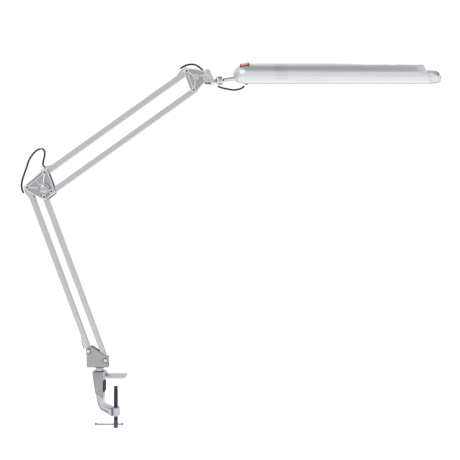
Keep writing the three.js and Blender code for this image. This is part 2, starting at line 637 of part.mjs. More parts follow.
function buildHead(rolled) {
  const head = new THREE.Group();
  head.position.set(headAt[0], 0, headAt[1]);
  head.rotation.x = HEAD_ROLL;
  lamp.add(head);

  const rise = HEAD_STEP[1];
  const hinge = { y: -rise * Math.sin(HEAD_ROLL), z: -rise * Math.cos(HEAD_ROLL) };
  const below = box(-10, HEAD_LENGTH + 60, -60, 60, -100, HEAD_BOTTOM);
  const slot = box(
    -5, SLOT_LENGTH, hinge.y - SLOT_WIDTH / 2, hinge.y + SLOT_WIDTH / 2, -100, hinge.z + ROD_RADIUS + 1.4,
  );
  const slope = Math.atan2(HEAD_TOP * (DOME_LENGTH - SWITCH_X), DOME_LENGTH * DOME_LENGTH);
  const switchZ = HEAD_TOP * Math.sqrt(1 - ((DOME_LENGTH - SWITCH_X) / DOME_LENGTH) ** 2);
  const [rx, ry] = [SWITCH_LENGTH / 2, SWITCH_WIDTH / 2];
  const fx = rx + RUNNING_GAP + SWITCH_FRAME;
  const fy = ry + RUNNING_GAP + SWITCH_FRAME;
  const place = (manifold) =>
    manifold.rotate([0, -THREE.MathUtils.radToDeg(slope), 0]).translate([SWITCH_X, 0, switchZ]);
  const switchHole = place(box(-fx - GAP, fx + GAP, -fy - GAP, fy + GAP, -20, 20));
  const shell = headForm(0).subtract(headForm(HEAD_WALL)).subtract(below).subtract(slot).subtract(switchHole);
  add(head, "head_shell", shell, HEAD_SILVER);

  const ring = box(-fx, fx, -fy, fy, -5, 0.8).subtract(
    box(-rx - RUNNING_GAP, rx + RUNNING_GAP, -ry - RUNNING_GAP, ry + RUNNING_GAP, -6, 2),
  );
  add(head, "switch_frame", place(ring), BLACK);
  const profile = new THREE.Shape();
  profile.moveTo(-rx, -SWITCH_HEIGHT / 2);
  profile.lineTo(rx, -SWITCH_HEIGHT / 2);
  profile.lineTo(rx, SWITCH_HEIGHT / 2 - 1.2);
  profile.quadraticCurveTo(0, SWITCH_HEIGHT / 2 + 0.4, -rx, SWITCH_HEIGHT / 2 - 1.2);
  profile.closePath();
  add(head, "switch_rocker", place(sheet(profile, -ry, ry)), ORANGE);

  const inside = headForm(HEAD_WALL + GAP);
  const slab = (x0, x1) => box(x0, x1, -60, 60, HEAD_BOTTOM, HEAD_BOTTOM + LENS_THICK).intersect(inside);
  const glandAt = [30, -16];
  const glandHole = CABLE_RADIUS + 1.2;
  const domePlate = slab(SLOT_LENGTH + GAP, LENS_START - GAP).subtract(
    post(0, -10, 10, glandHole + GAP, 16).translate([glandAt[0] + 1, glandAt[1], HEAD_BOTTOM]),
  );
  add(head, "dome_plate", domePlate, HEAD_SILVER);
  const gland = turned([
    [CABLE_RADIUS + GAP, -6], [CABLE_RADIUS + 1, -6], [glandHole + 1, -GAP], [glandHole, -GAP], [glandHole, 3],
    [CABLE_RADIUS + GAP, 3], [CABLE_RADIUS + GAP, -6],
  ], 16);
  add(head, "cable_gland", gland.translate([glandAt[0] + 1, glandAt[1], HEAD_BOTTOM]), BLACK);
  add(head, "lens", slab(LENS_START, LENS_END), WHITE);

  // inside the shell
  const turn = new THREE.Matrix4().makeBasis(
    new THREE.Vector3(0, 1, 0), new THREE.Vector3(0, 0, 1), new THREE.Vector3(1, 0, 0),
  );
  const [ballastStart, holderStart] = [LENS_START, LENS_START + BALLAST_LENGTH + 4];
  const tubeStart = holderStart + 44;
  const trough = new THREE.Shape();
  trough.absellipse(0, 0, HEAD_HALF_WIDTH - 4, HEAD_TOP - 6, 0, Math.PI, false);
  trough.absellipse(0, 0, HEAD_HALF_WIDTH - 5, HEAD_TOP - 7, Math.PI, 0, true);
  trough.closePath();
  const troughEnd = FACET_START - 2;
  const reflector = solid(
    new THREE.ExtrudeGeometry(trough, { depth: troughEnd - holderStart, bevelEnabled: false, curveSegments: 12 }),
    turn,
  ).translate([holderStart, 0, -5]);
  add(head, "reflector", reflector, WHITE);
  add(head, "ballast", box(ballastStart, ballastStart + BALLAST_LENGTH, -13, 13, -4, 14), WHITE);
  add(head, "lamp_holder", box(holderStart, tubeStart - GAP, -15, 15, -6.5, 6.5), WHITE);
  const tube = (y) => bar(tubeStart, troughEnd, LAMP_RADIUS, 16).translate([0, y, 0]);
  const bridge = cross(troughEnd - 14, 0, -LAMP_SPACING / 2, LAMP_SPACING / 2, 3);
  add(head, "lamp_tube", tube(-LAMP_SPACING / 2).add(tube(LAMP_SPACING / 2)).add(bridge), WHITE);
  const clipAt = troughEnd - 34;
  const clipHole = (y) => bar(clipAt - 2, clipAt + 5, LAMP_RADIUS + GAP, 16).translate([0, y, 0]);
  const clip = box(clipAt, clipAt + 3, -15.5, 15.5, -3, 9)
    .subtract(clipHole(-LAMP_SPACING / 2))
    .subtract(clipHole(LAMP_SPACING / 2))
    .subtract(box(clipAt - 1, clipAt + 4, -LAMP_SPACING / 2, LAMP_SPACING / 2, -4, 0));
  add(head, "lamp_clip", clip, WHITE);

  // the handle loop past the slanted end
  const loop = (half, reach, corner) => {
    const outline = new THREE.Shape();
    outline.moveTo(HEAD_LENGTH - 30, -half);
    outline.lineTo(HEAD_LENGTH + reach - corner, -half);
    outline.absarc(HEAD_LENGTH + reach - corner, -half + corner, corner, -Math.PI / 2, 0, false);
    outline.absarc(HEAD_LENGTH + reach - corner, half - corner, corner, 0, Math.PI / 2, false);
    outline.lineTo(HEAD_LENGTH - 30, half);
    outline.closePath();
    return new THREE.ExtrudeGeometry(outline, { depth: HANDLE_HEIGHT + 2, bevelEnabled: false, curveSegments: 8 });
  };
  const handleBottom = HEAD_BOTTOM - 1.5;
  const hollow = loop(HANDLE_HALF_WIDTH - HANDLE_STRAP, HANDLE_REACH - HANDLE_STRAP, HANDLE_CORNER - HANDLE_STRAP);
  const handle = solid(loop(HANDLE_HALF_WIDTH, HANDLE_REACH, HANDLE_CORNER))
    .translate([0, 0, handleBottom])
    .subtract(solid(hollow).translate([0, 0, handleBottom - 1]))
    .subtract(box(0, 600, -50, 50, handleBottom + HANDLE_HEIGHT, 60));
  const keep = endCut(GAP);
  const root = box(HEAD_LENGTH - 30, HEAD_LENGTH + 60, -HANDLE_HALF_WIDTH, HANDLE_HALF_WIDTH, handleBottom, -5)
    .subtract(endCut(GAP + 2.5));
  add(head, "handle_loop", handle.add(root).intersect(keep), HEAD_SILVER);

  // the U bracket inside the dome that carries the rod
  const [inner, outer] = [ROD_RADIUS + 0.8, ROD_RADIUS + 2.6];
  const bracket = box(ROD_LENGTH - 6, ROD_LENGTH + 12, -outer, outer, -4, 7)
    .subtract(box(ROD_LENGTH - 7, ROD_LENGTH + 10, -inner, inner, -5, 8))
    .subtract(cross(ROD_LENGTH, 0, -20, 20, HINGE_PIN_RADIUS + GAP));
  add(rolled, "head_hinge_bracket", bracket, STEEL);
}

// ---- cable ----
const outerFace = ([x, z], lean) => [x - (TUBE / 2) * Math.cos(lean), z + (TUBE / 2) * Math.sin(lean)];
const routeFrom = ([x, z], route) => route.map((p) => [x + p[0], p.length === 3 ? p[1] : 0, z + p.at(-1)]);

function addCable(name, route) {
  const path = new THREE.CatmullRomCurve3(route.map((p) => new THREE.Vector3(...p)));
  add(lamp, name, tubeAlong(path, CABLE_RADIUS, route.length * 2), BLACK);
}

function buildCable() {
  const upper = routeFrom(outerFace(elbowPins.top, UPPER_LEAN), ELBOW_CABLE_UPPER);
  const lower = routeFrom(outerFace(elbowPins.rear, LOWER_LEAN), ELBOW_CABLE_LOWER);
  const [seamX, , seamZ] = upper[0];
  lower.push([seamX - CABLE_SEAM, 0, seamZ]);
  addCable("elbow_cable_lower", lower);
  addCable("elbow_cable_upper", upper);
  addCable("wrist_cable", routeFrom(outerFace(wristPins.top, UPPER_LEAN), WRIST_CABLE));
  addCable("head_cable_rod", routeFrom(ballAt, HEAD_CABLE_ROD));
  addCable("head_cable_head", routeFrom(hingeAt, HEAD_CABLE_HEAD));
}

buildClamp();
buildBracket();
buildArms();
buildElbow();
buildWrist();
buildHead(buildNeck());
buildCable();

export default lamp;
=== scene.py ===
# Swing arm desk lamp: the finished surfaces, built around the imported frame.
# Metres, +Z up, +X from the clamp to the head; side_mm, lying_mm, box_mm and spun take millimetres.
import json
import math
import bpy
from mathutils import Matrix, Vector


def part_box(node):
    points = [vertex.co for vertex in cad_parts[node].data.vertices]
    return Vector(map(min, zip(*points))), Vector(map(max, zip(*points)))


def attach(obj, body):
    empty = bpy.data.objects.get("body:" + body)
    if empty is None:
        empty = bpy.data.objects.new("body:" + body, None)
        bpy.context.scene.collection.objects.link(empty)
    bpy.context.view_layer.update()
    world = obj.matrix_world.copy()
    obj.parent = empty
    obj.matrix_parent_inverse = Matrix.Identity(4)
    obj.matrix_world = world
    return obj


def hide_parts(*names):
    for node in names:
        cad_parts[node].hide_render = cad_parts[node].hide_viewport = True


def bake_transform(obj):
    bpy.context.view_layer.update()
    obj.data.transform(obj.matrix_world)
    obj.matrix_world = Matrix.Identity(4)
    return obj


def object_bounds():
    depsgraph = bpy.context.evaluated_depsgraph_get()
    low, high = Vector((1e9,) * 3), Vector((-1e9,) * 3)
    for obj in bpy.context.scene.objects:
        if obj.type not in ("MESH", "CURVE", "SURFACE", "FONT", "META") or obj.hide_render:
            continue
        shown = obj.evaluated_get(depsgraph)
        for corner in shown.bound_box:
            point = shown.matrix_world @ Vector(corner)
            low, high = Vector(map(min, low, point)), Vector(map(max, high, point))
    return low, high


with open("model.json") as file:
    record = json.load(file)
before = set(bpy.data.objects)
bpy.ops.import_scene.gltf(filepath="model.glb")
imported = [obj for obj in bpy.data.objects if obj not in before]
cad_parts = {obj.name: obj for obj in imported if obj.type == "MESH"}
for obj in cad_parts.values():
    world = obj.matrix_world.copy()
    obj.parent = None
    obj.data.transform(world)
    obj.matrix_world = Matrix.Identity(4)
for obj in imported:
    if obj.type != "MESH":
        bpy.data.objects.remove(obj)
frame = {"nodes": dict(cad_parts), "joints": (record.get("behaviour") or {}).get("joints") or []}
cad_low, cad_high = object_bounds()

MM = 0.001
SMOOTH_ANGLE = math.radians(35)


# ---- places taken from the frame ----
def middle(node):
    low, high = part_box(node)
    return (low + high) / 2


BASE_REAR = middle("base_rivet_rear")
BASE_FRONT = middle("base_rivet_front")
ELBOW = {place: middle(f"elbow_pin_{place}") for place in ("rear", "front", "bottom", "top")}
WRIST = {place: middle(f"wrist_pin_{place}") for place in ("top", "bottom")}
JOINTS = {joint["name"]: joint for joint in frame["joints"]}
TILT = Vector(JOINTS["neck_tilt"]["pos_m"])
BALL = Vector(JOINTS["head_roll"]["pos_m"])
HINGE = Vector(JOINTS["head_tilt"]["pos_m"])
ROD_AXIS = Vector(JOINTS["head_roll"]["axis"])
HINGE_AXIS = Vector(JOINTS["head_tilt"]["axis"])
FRICTION = middle("elbow_friction_cap")


# ---- camera ----
CAMERA_PLACE = (0.2633, -1.476, 0.339)
LENS_MM = 50.09
SENSOR_MM = 36


def make_camera():
    data = bpy.data.cameras.new("camera")
    data.lens = LENS_MM
    data.sensor_width = SENSOR_MM
    camera = bpy.data.objects.new("camera", data)
    camera.location = CAMERA_PLACE
    camera.rotation_euler = (math.radians(90), 0, 0)
    bpy.context.collection.objects.link(camera)
    bpy.context.scene.camera = camera


make_camera()


# ---- materials ----
class Value:
    """A shader socket that maths can be written with."""

    def __init__(self, tree, socket):
        self.tree = tree
        self.socket = socket

    def _math(self, operation, *values):
        node = self.tree.nodes.new("ShaderNodeMath")
        node.operation = operation
        for place, value in enumerate(values):
            if isinstance(value, Value):
                self.tree.links.new(value.socket, node.inputs[place])
            else:
                node.inputs[place].default_value = value
        return Value(self.tree, node.outputs[0])

    def __add__(self, other):
        return self._math("ADD", self, other)

    def __mul__(self, other):
        return self._math("MULTIPLY", self, other)

    def __sub__(self, other):
        return self._math("SUBTRACT", self, other)


class Finish:
    """A material under construction: its shader, its object coordinates and one way to add any node."""

    def __init__(self, name, roughness, metallic, uniform=None):
        self.material = bpy.data.materials.new(name)
        self.material.use_nodes = True
        self.tree = self.material.node_tree
        self.shader = self.tree.nodes["Principled BSDF"]
        self.shader.inputs["Roughness"].default_value = roughness
        self.shader.inputs["Metallic"].default_value = metallic
        for socket, value in (uniform or {}).items():
            self.shader.inputs[socket].default_value = value
        self.place = self.node("ShaderNodeTexCoord", {}, {}, "Object")

    def node(self, kind, settings, sockets, output=0):
        node = self.tree.nodes.new(kind)
        for key, value in settings.items():
            setattr(node, key, value)
        for key, value in sockets.items():
            if isinstance(value, Value):
                self.tree.links.new(value.socket, node.inputs[key])
            else:
                node.inputs[key].default_value = value
        return Value(self.tree, node.outputs[output])

    def noise(self, scale, detail=3.0, stretch=None, turn=(0, 0, 0)):
        place = self.place
        if stretch:
            turned = self.node("ShaderNodeMapping", {}, {"Vector": place, "Rotation": turn})
            place = self.node("ShaderNodeMapping", {}, {"Vector": turned, "Scale": stretch})
        sockets = {"Vector": place, "Scale": scale, "Detail": detail}
        return self.node("ShaderNodeTexNoise", {}, sockets, "Fac")

    def coordinates(self):
        """The object coordinates X, Y and Z, each by itself."""
        parts = self.tree.nodes.new("ShaderNodeSeparateXYZ")
        self.tree.links.new(self.place.socket, parts.inputs[0])
        return [Value(self.tree, parts.outputs[axis]) for axis in "XYZ"]

    def remap(self, value, low, high, start, end):
        sockets = {"Value": value, "From Min": low, "From Max": high, "To Min": start, "To Max": end}
        return self.node("ShaderNodeMapRange", {}, sockets, "Result")

    def between(self, factor, first, second):
        node = self.tree.nodes.new("ShaderNodeMix")
        node.data_type = "RGBA"
        self.tree.links.new(factor.socket, node.inputs["Factor"])
        for key, value in (("A", first), ("B", second)):
            socket = [s for s in node.inputs if s.name == key and s.type == "RGBA"][0]
            if isinstance(value, Value):
                self.tree.links.new(value.socket, socket)
            else:
                socket.default_value = (*value, 1)
        return Value(self.tree, [s for s in node.outputs if s.type == "RGBA"][0])

    def feed(self, socket, value):
        self.tree.links.new(value.socket, self.shader.inputs[socket])

    def bump(self, height, strength, distance):
        sockets = {"Height": height, "Strength": strength, "Distance": distance}
        self.feed("Normal", self.node("ShaderNodeBump", {}, sockets, "Normal"))


CLOUD_SCALE = 28
DRIFT_SCALE = 14
BUMP_DEPTH = 0.0002


def metal(
    name, color, roughness, metallic=1.0, grain=900, bump=0.06, variation=0.08, stretch=None, turn=(0, 0, 0),
):
    """Bare or plated metal: fine grain over slow cloudiness."""
    finish = Finish(name, roughness, metallic)
    fine = finish.noise(grain, 4, stretch, turn)
    cloud = finish.noise(CLOUD_SCALE, 3)
    darker = tuple(c * (1 - variation) for c in color)
    brighter = tuple(min(1, c * (1 + variation * 0.6)) for c in color)
    base = finish.between(finish.remap(cloud, 0.3, 0.7, 0, 1), darker, color)
    finish.feed("Base Color", finish.between(finish.remap(fine, 0.35, 0.75, 0, 0.5), base, brighter))
    worn = finish.remap(fine, 0.3, 0.7, roughness - 0.05, roughness + 0.08)
    finish.feed("Roughness", worn + (cloud - 0.5) * 0.1)
    finish.bump(fine, bump, BUMP_DEPTH)
    return finish.material


def moulded(name, color, roughness, coat=0.0, grain=700, bump=0.08, metallic=0.0, variation=0.06):
    """Moulded or painted plastic: faint orange peel, slow colour drift and small specks in the gloss."""
    finish = Finish(name, roughness, metallic, {"Coat Weight": coat, "Coat Roughness": 0.15})
    peel = finish.noise(grain, 2)
    drift = finish.noise(DRIFT_SCALE, 3)
    darker = tuple(c * (1 - variation) for c in color)
    finish.feed("Base Color", finish.between(finish.remap(drift, 0.3, 0.7, 0, 1), darker, color))
    gloss = finish.remap(peel, 0.3, 0.7, roughness - 0.04, roughness + 0.06)
    finish.feed("Roughness", gloss + (drift - 0.5) * 0.08)
    finish.bump(peel, bump, BUMP_DEPTH)
    return finish.material


ALONG = (4, 4, 0.1)
TURN_LOWER = (0, math.radians(20.4), 0)
TURN_UPPER = (0, math.radians(-54.5), 0)


def satin_tube(name, color, roughness, turn):
    """Brushed aluminium with its grain along the tube."""
    return metal(name, color, roughness, 0.8, 900, 0.02, 0.02, ALONG, turn)


FINISH = {
    "tube_lower": satin_tube("satin_tube_lower", (0.46, 0.46, 0.48), 0.36, TURN_LOWER),
    "tube_upper": satin_tube("satin_tube_upper", (0.44, 0.44, 0.46), 0.34, TURN_UPPER),
    "cast": metal("die_cast_zinc", (0.48, 0.48, 0.51), 0.2, 1.0, 420, 0.12, 0.12),
    "sheet": metal("bracket_grey_paint", (0.33, 0.33, 0.33), 0.5, 0.45, 620, 0.15, 0.06),
    "steel": metal("zinc_plated_steel", (0.55, 0.56, 0.59), 0.2, 1.0, 800, 0.06, 0.1),
    "dark_steel": metal("blackened_steel", (0.060, 0.085, 0.11), 0.26, 0.9, 600, 0.12, 0.25),
    "black": moulded("black_plastic", (0.018, 0.018, 0.02), 0.5, 0.0, 900, 0.2),
    "rubber": moulded("black_rubber", (0.02, 0.02, 0.022), 0.68, 0.0, 500, 0.25),
    "cable": moulded("cable_sheath", (0.006, 0.0065, 0.0075), 0.48, 0.0, 900, 0.08),
    "switch": moulded("switch_orange", (0.80, 0.105, 0.03), 0.28, 0.5, 900, 0.03),
    "white": moulded("white_plastic", (0.80, 0.80, 0.78), 0.42, 0.0, 900, 0.06),
    "reflector": moulded("reflector_enamel", (0.86, 0.86, 0.85), 0.22, 0.4, 500, 0.04),
    "lamp": moulded("phosphor_glass", (0.90, 0.90, 0.87), 0.18, 0.3, 300, 0.01),
}


def lens_finish():
    """Frosted acrylic with a prismatic back: pale, slightly clear, ribbed."""
    finish = Finish("prismatic_lens", 0.2, 0.0, {"Transmission Weight": 0.35, "IOR": 1.49})
    sockets = {"Vector": finish.place, "Scale": 90.0}
    ribs = finish.node("ShaderNodeTexWave", {"bands_direction": "X"}, sockets, "Fac")
    speck = finish.noise(600, 2)
    specks = finish.remap(speck, 0.3, 0.7, 0, 1)
    finish.feed("Base Color", finish.between(specks, (0.80, 0.82, 0.82), (0.90, 0.91, 0.90)))
    finish.feed("Roughness", finish.remap(speck, 0.3, 0.7, 0.16, 0.3))
    finish.bump(ribs, 0.35, 0.0006)
    return finish.material


SEAM_X = -37
SEAM_Z = -40.2
SEAM_FALL = 0.62
SPINE_X = -27


def clamp_paint_with_painted_shade():
    """Silver hammered paint, with painted shade darkening the spine above the slanted seam."""
    finish = Finish("clamp_silver_paint_with_painted_shade", 0.4, 0.75)
    x, _, z = finish.coordinates()
    seam = (SEAM_Z + SEAM_X * SEAM_FALL) * MM
    painted_shade_height_mask = finish.remap(z + x * SEAM_FALL, seam + 0.14 * MM, seam + 0.94 * MM, 0, 1)
    painted_shade_spine_mask = finish.remap(x, (SPINE_X + 0.2) * MM, (SPINE_X + 0.8) * MM, 1, 0)
    grain = finish.noise(520, 4)
    cloud = finish.noise(CLOUD_SCALE, 3)
    clouds = finish.remap(cloud, 0.3, 0.7, 0, 1)
    light = finish.between(clouds, (0.43, 0.43, 0.46), (0.50, 0.50, 0.53))
    shaded_paint = finish.between(clouds, (0.26, 0.26, 0.27), (0.31, 0.31, 0.32))
    # Painted shade: the spine above the seam gets the dark copy of the paint.
    finish.feed("Base Color", finish.between(painted_shade_height_mask * painted_shade_spine_mask, light, shaded_paint))
    finish.feed("Roughness", finish.remap(grain, 0.3, 0.7, 0.34, 0.46))
    finish.bump(grain, 0.2, BUMP_DEPTH)
    return finish.material


HEAD_ROLL = math.radians(35)
HEAD_BACK = 13.5
HEAD_UP = 5.8
SILL = -9


def head_paint_with_painted_shade():
    """Silver paint with a fine grain, and painted shade: a dark strip along the folded lower edge."""
    finish = Finish("head_silver_paint_with_painted_shade", 0.32, 0.6, {"Coat Weight": 0.25, "Coat Roughness": 0.15})
    _, y, z = finish.coordinates()
    height = (z - (HINGE.z + HEAD_UP * MM)) * math.cos(HEAD_ROLL) - y * math.sin(HEAD_ROLL)
    painted_shade_height_mask = finish.remap(height, (SILL + 0.3) * MM, (SILL + 3) * MM, 0, 1)
    peel = finish.noise(1300, 2)
    drift = finish.noise(DRIFT_SCALE, 3)
    drifts = finish.remap(drift, 0.3, 0.7, 0, 1)
    paint = finish.between(drifts, (0.57, 0.575, 0.60), (0.59, 0.595, 0.62))
    # Painted shade: the paint turns dark in the bottom few millimetres above the sill, standing in for shade
    # under the curved lower edge.
    finish.feed("Base Color", finish.between(painted_shade_height_mask, (0.30, 0.30, 0.32), paint))
    finish.feed("Roughness", finish.remap(peel, 0.3, 0.7, 0.28, 0.36))
    finish.bump(peel, 0.05, BUMP_DEPTH)
    return finish.material


PLATE_FLOOR = (8.15 * MM, 9.05 * MM)


def plate_finish_with_painted_recess_shade():
    """Cast metal whose recessed floor is duller than its rim and ribs, and painted darker as painted shade in
    the recess.
    """
    finish = Finish("die_cast_plate_with_painted_recess_shade", 0.2, 1.0)
    _, y, _ = finish.coordinates()
    deep, proud = PLATE_FLOOR
    rim_mask_for_gloss_and_painted_shade = finish.remap(y * y, deep * deep, proud * proud, 0, 1)
    grain = finish.noise(420, 4)
    # Painted shade: the recessed floor gets a darker base colour than the rim and ribs.
    finish.feed("Base Color", finish.between(rim_mask_for_gloss_and_painted_shade, (0.34, 0.34, 0.37), (0.62, 0.62, 0.66)))
    finish.feed("Roughness", finish.remap(rim_mask_for_gloss_and_painted_shade, 0, 1, 0.42, 0.18))
    finish.bump(grain, 0.15, 0.00015)
    return finish.material


FINISH["lens"] = lens_finish()
FINISH["plate"] = plate_finish_with_painted_recess_shade()
FINISH["head"] = head_paint_with_painted_shade()
FINISH["bar"] = metal("plated_bar", (0.3, 0.31, 0.33), 0.3, 1.0, 800, 0.06, 0.1)
FINISH["clamp"] = clamp_paint_with_painted_shade()


# ---- making and finishing pieces ----
def deselect():
    bpy.ops.object.select_all(action="DESELECT")


def use(piece):
    deselect()
    piece.select_set(True)
    bpy.context.view_layer.objects.active = piece


def modify(piece, kind, **settings):
    use(piece)
    modifier = piece.modifiers.new(kind.lower(), kind)
    for key, value in settings.items():
        setattr(modifier, key, value)
    bpy.ops.object.modifier_apply(modifier=modifier.name)


def round_edges(piece, width, segments=3, angle=40):
    limit = math.radians(angle)
    modify(piece, "BEVEL", width=width, segments=segments, limit_method="ANGLE", angle_limit=limit)


def round_some(piece, chosen, width, segments=3):
    """Rounds the edges whose two ends pass a test."""
    use(piece)
    bpy.ops.object.mode_set(mode="EDIT")
    bpy.ops.mesh.select_mode(type="EDGE")
    bpy.ops.mesh.select_all(action="DESELECT")
    bpy.ops.object.mode_set(mode="OBJECT")
    for edge in piece.data.edges:
        edge.select = chosen(*(piece.data.vertices[v].co for v in edge.vertices))
    bpy.ops.object.mode_set(mode="EDIT")
    bpy.ops.mesh.bevel(offset=width, segments=segments)
    bpy.ops.mesh.select_mode(type="VERT")
    bpy.ops.object.mode_set(mode="OBJECT")


def smooth(piece, angle=SMOOTH_ANGLE):
    use(piece)
    bpy.ops.object.shade_smooth_by_angle(angle=angle)


def settle(piece, matrix):
    """Puts a piece that was made round the origin in its place, and the place in its mesh."""
    piece.matrix_world = matrix @ piece.matrix_world
    use(piece)
    bpy.ops.object.transform_apply(location=True, rotation=True, scale=True)


def finished(piece, name, body, look, slot, *nodes, angle=SMOOTH_ANGLE):
    """The last step of every piece: smooth, name, material, body and the CAD nodes that it stands for."""
    use(piece)
    bpy.ops.object.mode_set(mode="EDIT")
    bpy.ops.mesh.select_all(action="SELECT")
    bpy.ops.mesh.remove_doubles(threshold=0.000005)
    bpy.ops.mesh.normals_make_consistent(inside=False)
    bpy.ops.object.mode_set(mode="OBJECT")
    smooth(piece, angle)
    piece.name = name
    piece.data.materials.clear()
    piece.data.materials.append(FINISH[look])
    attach(piece, body)
    if nodes:
        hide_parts(*nodes)
    return piece


def new_piece():
    piece = bpy.context.object
    use(piece)
    return piece


def block(x0, x1, y0, y1, z0, z1):
    bpy.ops.mesh.primitive_cube_add(size=1, location=((x0 + x1) / 2, (y0 + y1) / 2, (z0 + z1) / 2))
    piece = new_piece()
    piece.scale = (x1 - x0, y1 - y0, z1 - z0)
    bpy.ops.object.transform_apply(location=True, rotation=True, scale=True)
    return piece


def side_plate(points, y0, y1):
    """A plate between two Y values with the given side outline of (x, z) points."""
    bpy.ops.mesh.primitive_circle_add(vertices=len(points), radius=1, fill_type="NGON")
    piece = new_piece()
    for vertex, (x, z) in zip(piece.data.vertices, points):
        vertex.co = (x, y0, z)
    bpy.ops.object.mode_set(mode="EDIT")
    bpy.ops.mesh.select_all(action="SELECT")
    bpy.ops.mesh.extrude_region_move(TRANSFORM_OT_translate={"value": (0, y1 - y0, 0)})
    bpy.ops.mesh.select_all(action="SELECT")
    bpy.ops.mesh.normals_make_consistent(inside=False)
    bpy.ops.object.mode_set(mode="OBJECT")
    return piece


def turned(profile, steps=48):
    """A solid of revolution about local Z from (radius, height) pairs."""
    points = list(profile)
    bpy.ops.mesh.primitive_circle_add(vertices=len(points), radius=1, fill_type="NOTHING")
    piece = new_piece()
    for vertex, (radius, height) in zip(piece.data.vertices, points):
        vertex.co = (radius, 0, height)
    bpy.ops.object.mode_set(mode="EDIT")
    bpy.ops.mesh.select_mode(type="EDGE")
    bpy.ops.mesh.select_all(action="DESELECT")
    bpy.ops.object.mode_set(mode="OBJECT")
    closing = {0, len(points) - 1}
    open_profile = points[0][0] < 1e-7 and points[-1][0] < 1e-7
    for edge in piece.data.edges:
        edge.select = open_profile and set(edge.vertices) == closing
    bpy.ops.object.mode_set(mode="EDIT")
    if open_profile:
        bpy.ops.mesh.delete(type="EDGE_FACE")
    bpy.ops.mesh.select_all(action="SELECT")
    bpy.ops.mesh.spin(steps=steps, angle=2 * math.pi, center=(0, 0, 0), axis=(0, 0, 1), dupli=False)
    bpy.ops.mesh.select_all(action="SELECT")
    bpy.ops.mesh.remove_doubles(threshold=0.000002)
    bpy.ops.mesh.normals_make_consistent(inside=False)
    bpy.ops.mesh.select_mode(type="VERT")
    bpy.ops.object.mode_set(mode="OBJECT")
    return piece


def cut(piece, tool, operation="DIFFERENCE"):
    modify(piece, "BOOLEAN", object=tool, operation=operation, solver="EXACT")
    bpy.data.objects.remove(tool)
    return piece


def join(piece, *others):
    for other in others:
        cut(piece, other, "UNION")
    return piece


def arc(centre, radius, start, end, steps=8):
    """Points on a circle in X and Z between two angles in degrees."""
    x, z = centre
    angles = [math.radians(start + (end - start) * i / steps) for i in range(steps + 1)]
    return [(x + radius * math.cos(a), z + radius * math.sin(a)) for a in angles]


def curve_through(start, handle, end, steps=8):
    """Points on a quadratic curve."""
    points = []
    for i in range(steps + 1):
        t = i / steps
        weights = ((1 - t) ** 2, 2 * t * (1 - t), t * t)
        points.append(tuple(sum(w * p[k] for w, p in zip(weights, (start, handle, end))) for k in (0, 1)))
    return points


def lobes(circles, steps=9):
    """The outline round circles (x, z, radius) listed anticlockwise, joined by their outer tangents."""
    count = len(circles)
    leave = []
    for i, (x, z, r) in enumerate(circles):
        nx, nz, nr = circles[(i + 1) % count]
        leave.append(math.atan2(nz - z, nx - x) - math.acos((r - nr) / math.hypot(nx - x, nz - z)))
    points = []
    for i, (x, z, r) in enumerate(circles):
        start, end = leave[i - 1], leave[i]
        end = start + (end - start) % (2 * math.pi)
        points += arc((x, z), r, math.degrees(start), math.degrees(end), steps)
    return points


def flat(point):
    return (point.x, point.z)


def lean_of(start, end):
    """The turn about Y that takes +Z to the direction from one point to another."""
    return math.atan2(end.x - start.x, end.z - start.z)


def stand(origin, lean):
    return Matrix.Translation(origin) @ Matrix.Rotation(lean, 4, "Y")


def aim(origin, axis):
    """A frame whose Z lies along an axis."""
    return Matrix.Translation(origin) @ axis.to_track_quat("Z", "X").to_matrix().to_4x4()


# ---- cable ----
CABLE_RADIUS = 2.1 * MM
CABLES = {
    "elbow_cable_lower": [
        (-212.6, 0, 424), (-216.6, 0, 434), (-217.2, 0, 446), (-214.2, 0, 459), (-206, 0, 482.5),
        (-199.7, 0, 501), (-190.5, 0, 514.7), (-182.2, 0, 522.7), (-173.6, 0, 526.6),
    ],
    "elbow_cable_upper": [
        (-171.4, 0, 526.8), (-166.5, 0, 524), (-164, 0, 518.5), (-164.2, 0, 511), (-166.3, 0, 501),
        (-168, 0, 493), (-167, 0, 487.5), (-163.5, 0, 484),
    ],
    "wrist_cable": [
        (149.2, 0, 711.2), (154.5, 0, 715), (163.5, 0, 719.4), (174, 0, 721), (182, 0, 720), (190, 0, 716),
        (197, 0, 710.5), (201, 0, 706),
    ],
    "head_cable_rod": [
        (235.4, 0, 670.3), (239, 0, 668.7), (246, 0, 666.4), (255, 0, 664.6), (266.8, 0, 662.3),
    ],
    "head_cable_head": [
        (266.8, 0, 662.3), (273, -0.3, 661.9), (279, -1, 662.4), (289.6, -3, 665), (296.4, -5, 670),
    ],
}


def smooth_route(points, per_span=4):
    """Evenly shared points on a smooth curve through the given ones, in metres."""
    p = [Vector(q) * MM for q in points]
    ends = [p[0] * 2 - p[1]] + p + [p[-1] * 2 - p[-2]]
    route = []
    for a, b, c, d in zip(ends, ends[1:], ends[2:], ends[3:]):
        for i in range(per_span):
            t = i / per_span
            pull = (2 * a - 5 * b + 4 * c - d) * t * t + (3 * b - a - 3 * c + d) * t ** 3
            route.append((2 * b + (c - a) * t + pull) / 2)
    return route + [p[-1]]


def cable_tube(name, route):
    """A round sheath along a route, as a mesh."""
    data = bpy.data.curves.new(name, "CURVE")
    data.dimensions = "3D"
    data.bevel_depth = CABLE_RADIUS
    data.bevel_resolution = 5
    data.use_fill_caps = True
    spline = data.splines.new("POLY")
    spline.points.add(len(route) - 1)
    for point, place in zip(spline.points, route):
        point.co = (*place, 1)
    piece = bpy.data.objects.new(name, data)
    bpy.context.collection.objects.link(piece)
    use(piece)
    bpy.ops.object.convert(target="MESH")
    return bpy.context.object


def length_of(route):
    return sum((b - a).length for a, b in zip(route, route[1:]))


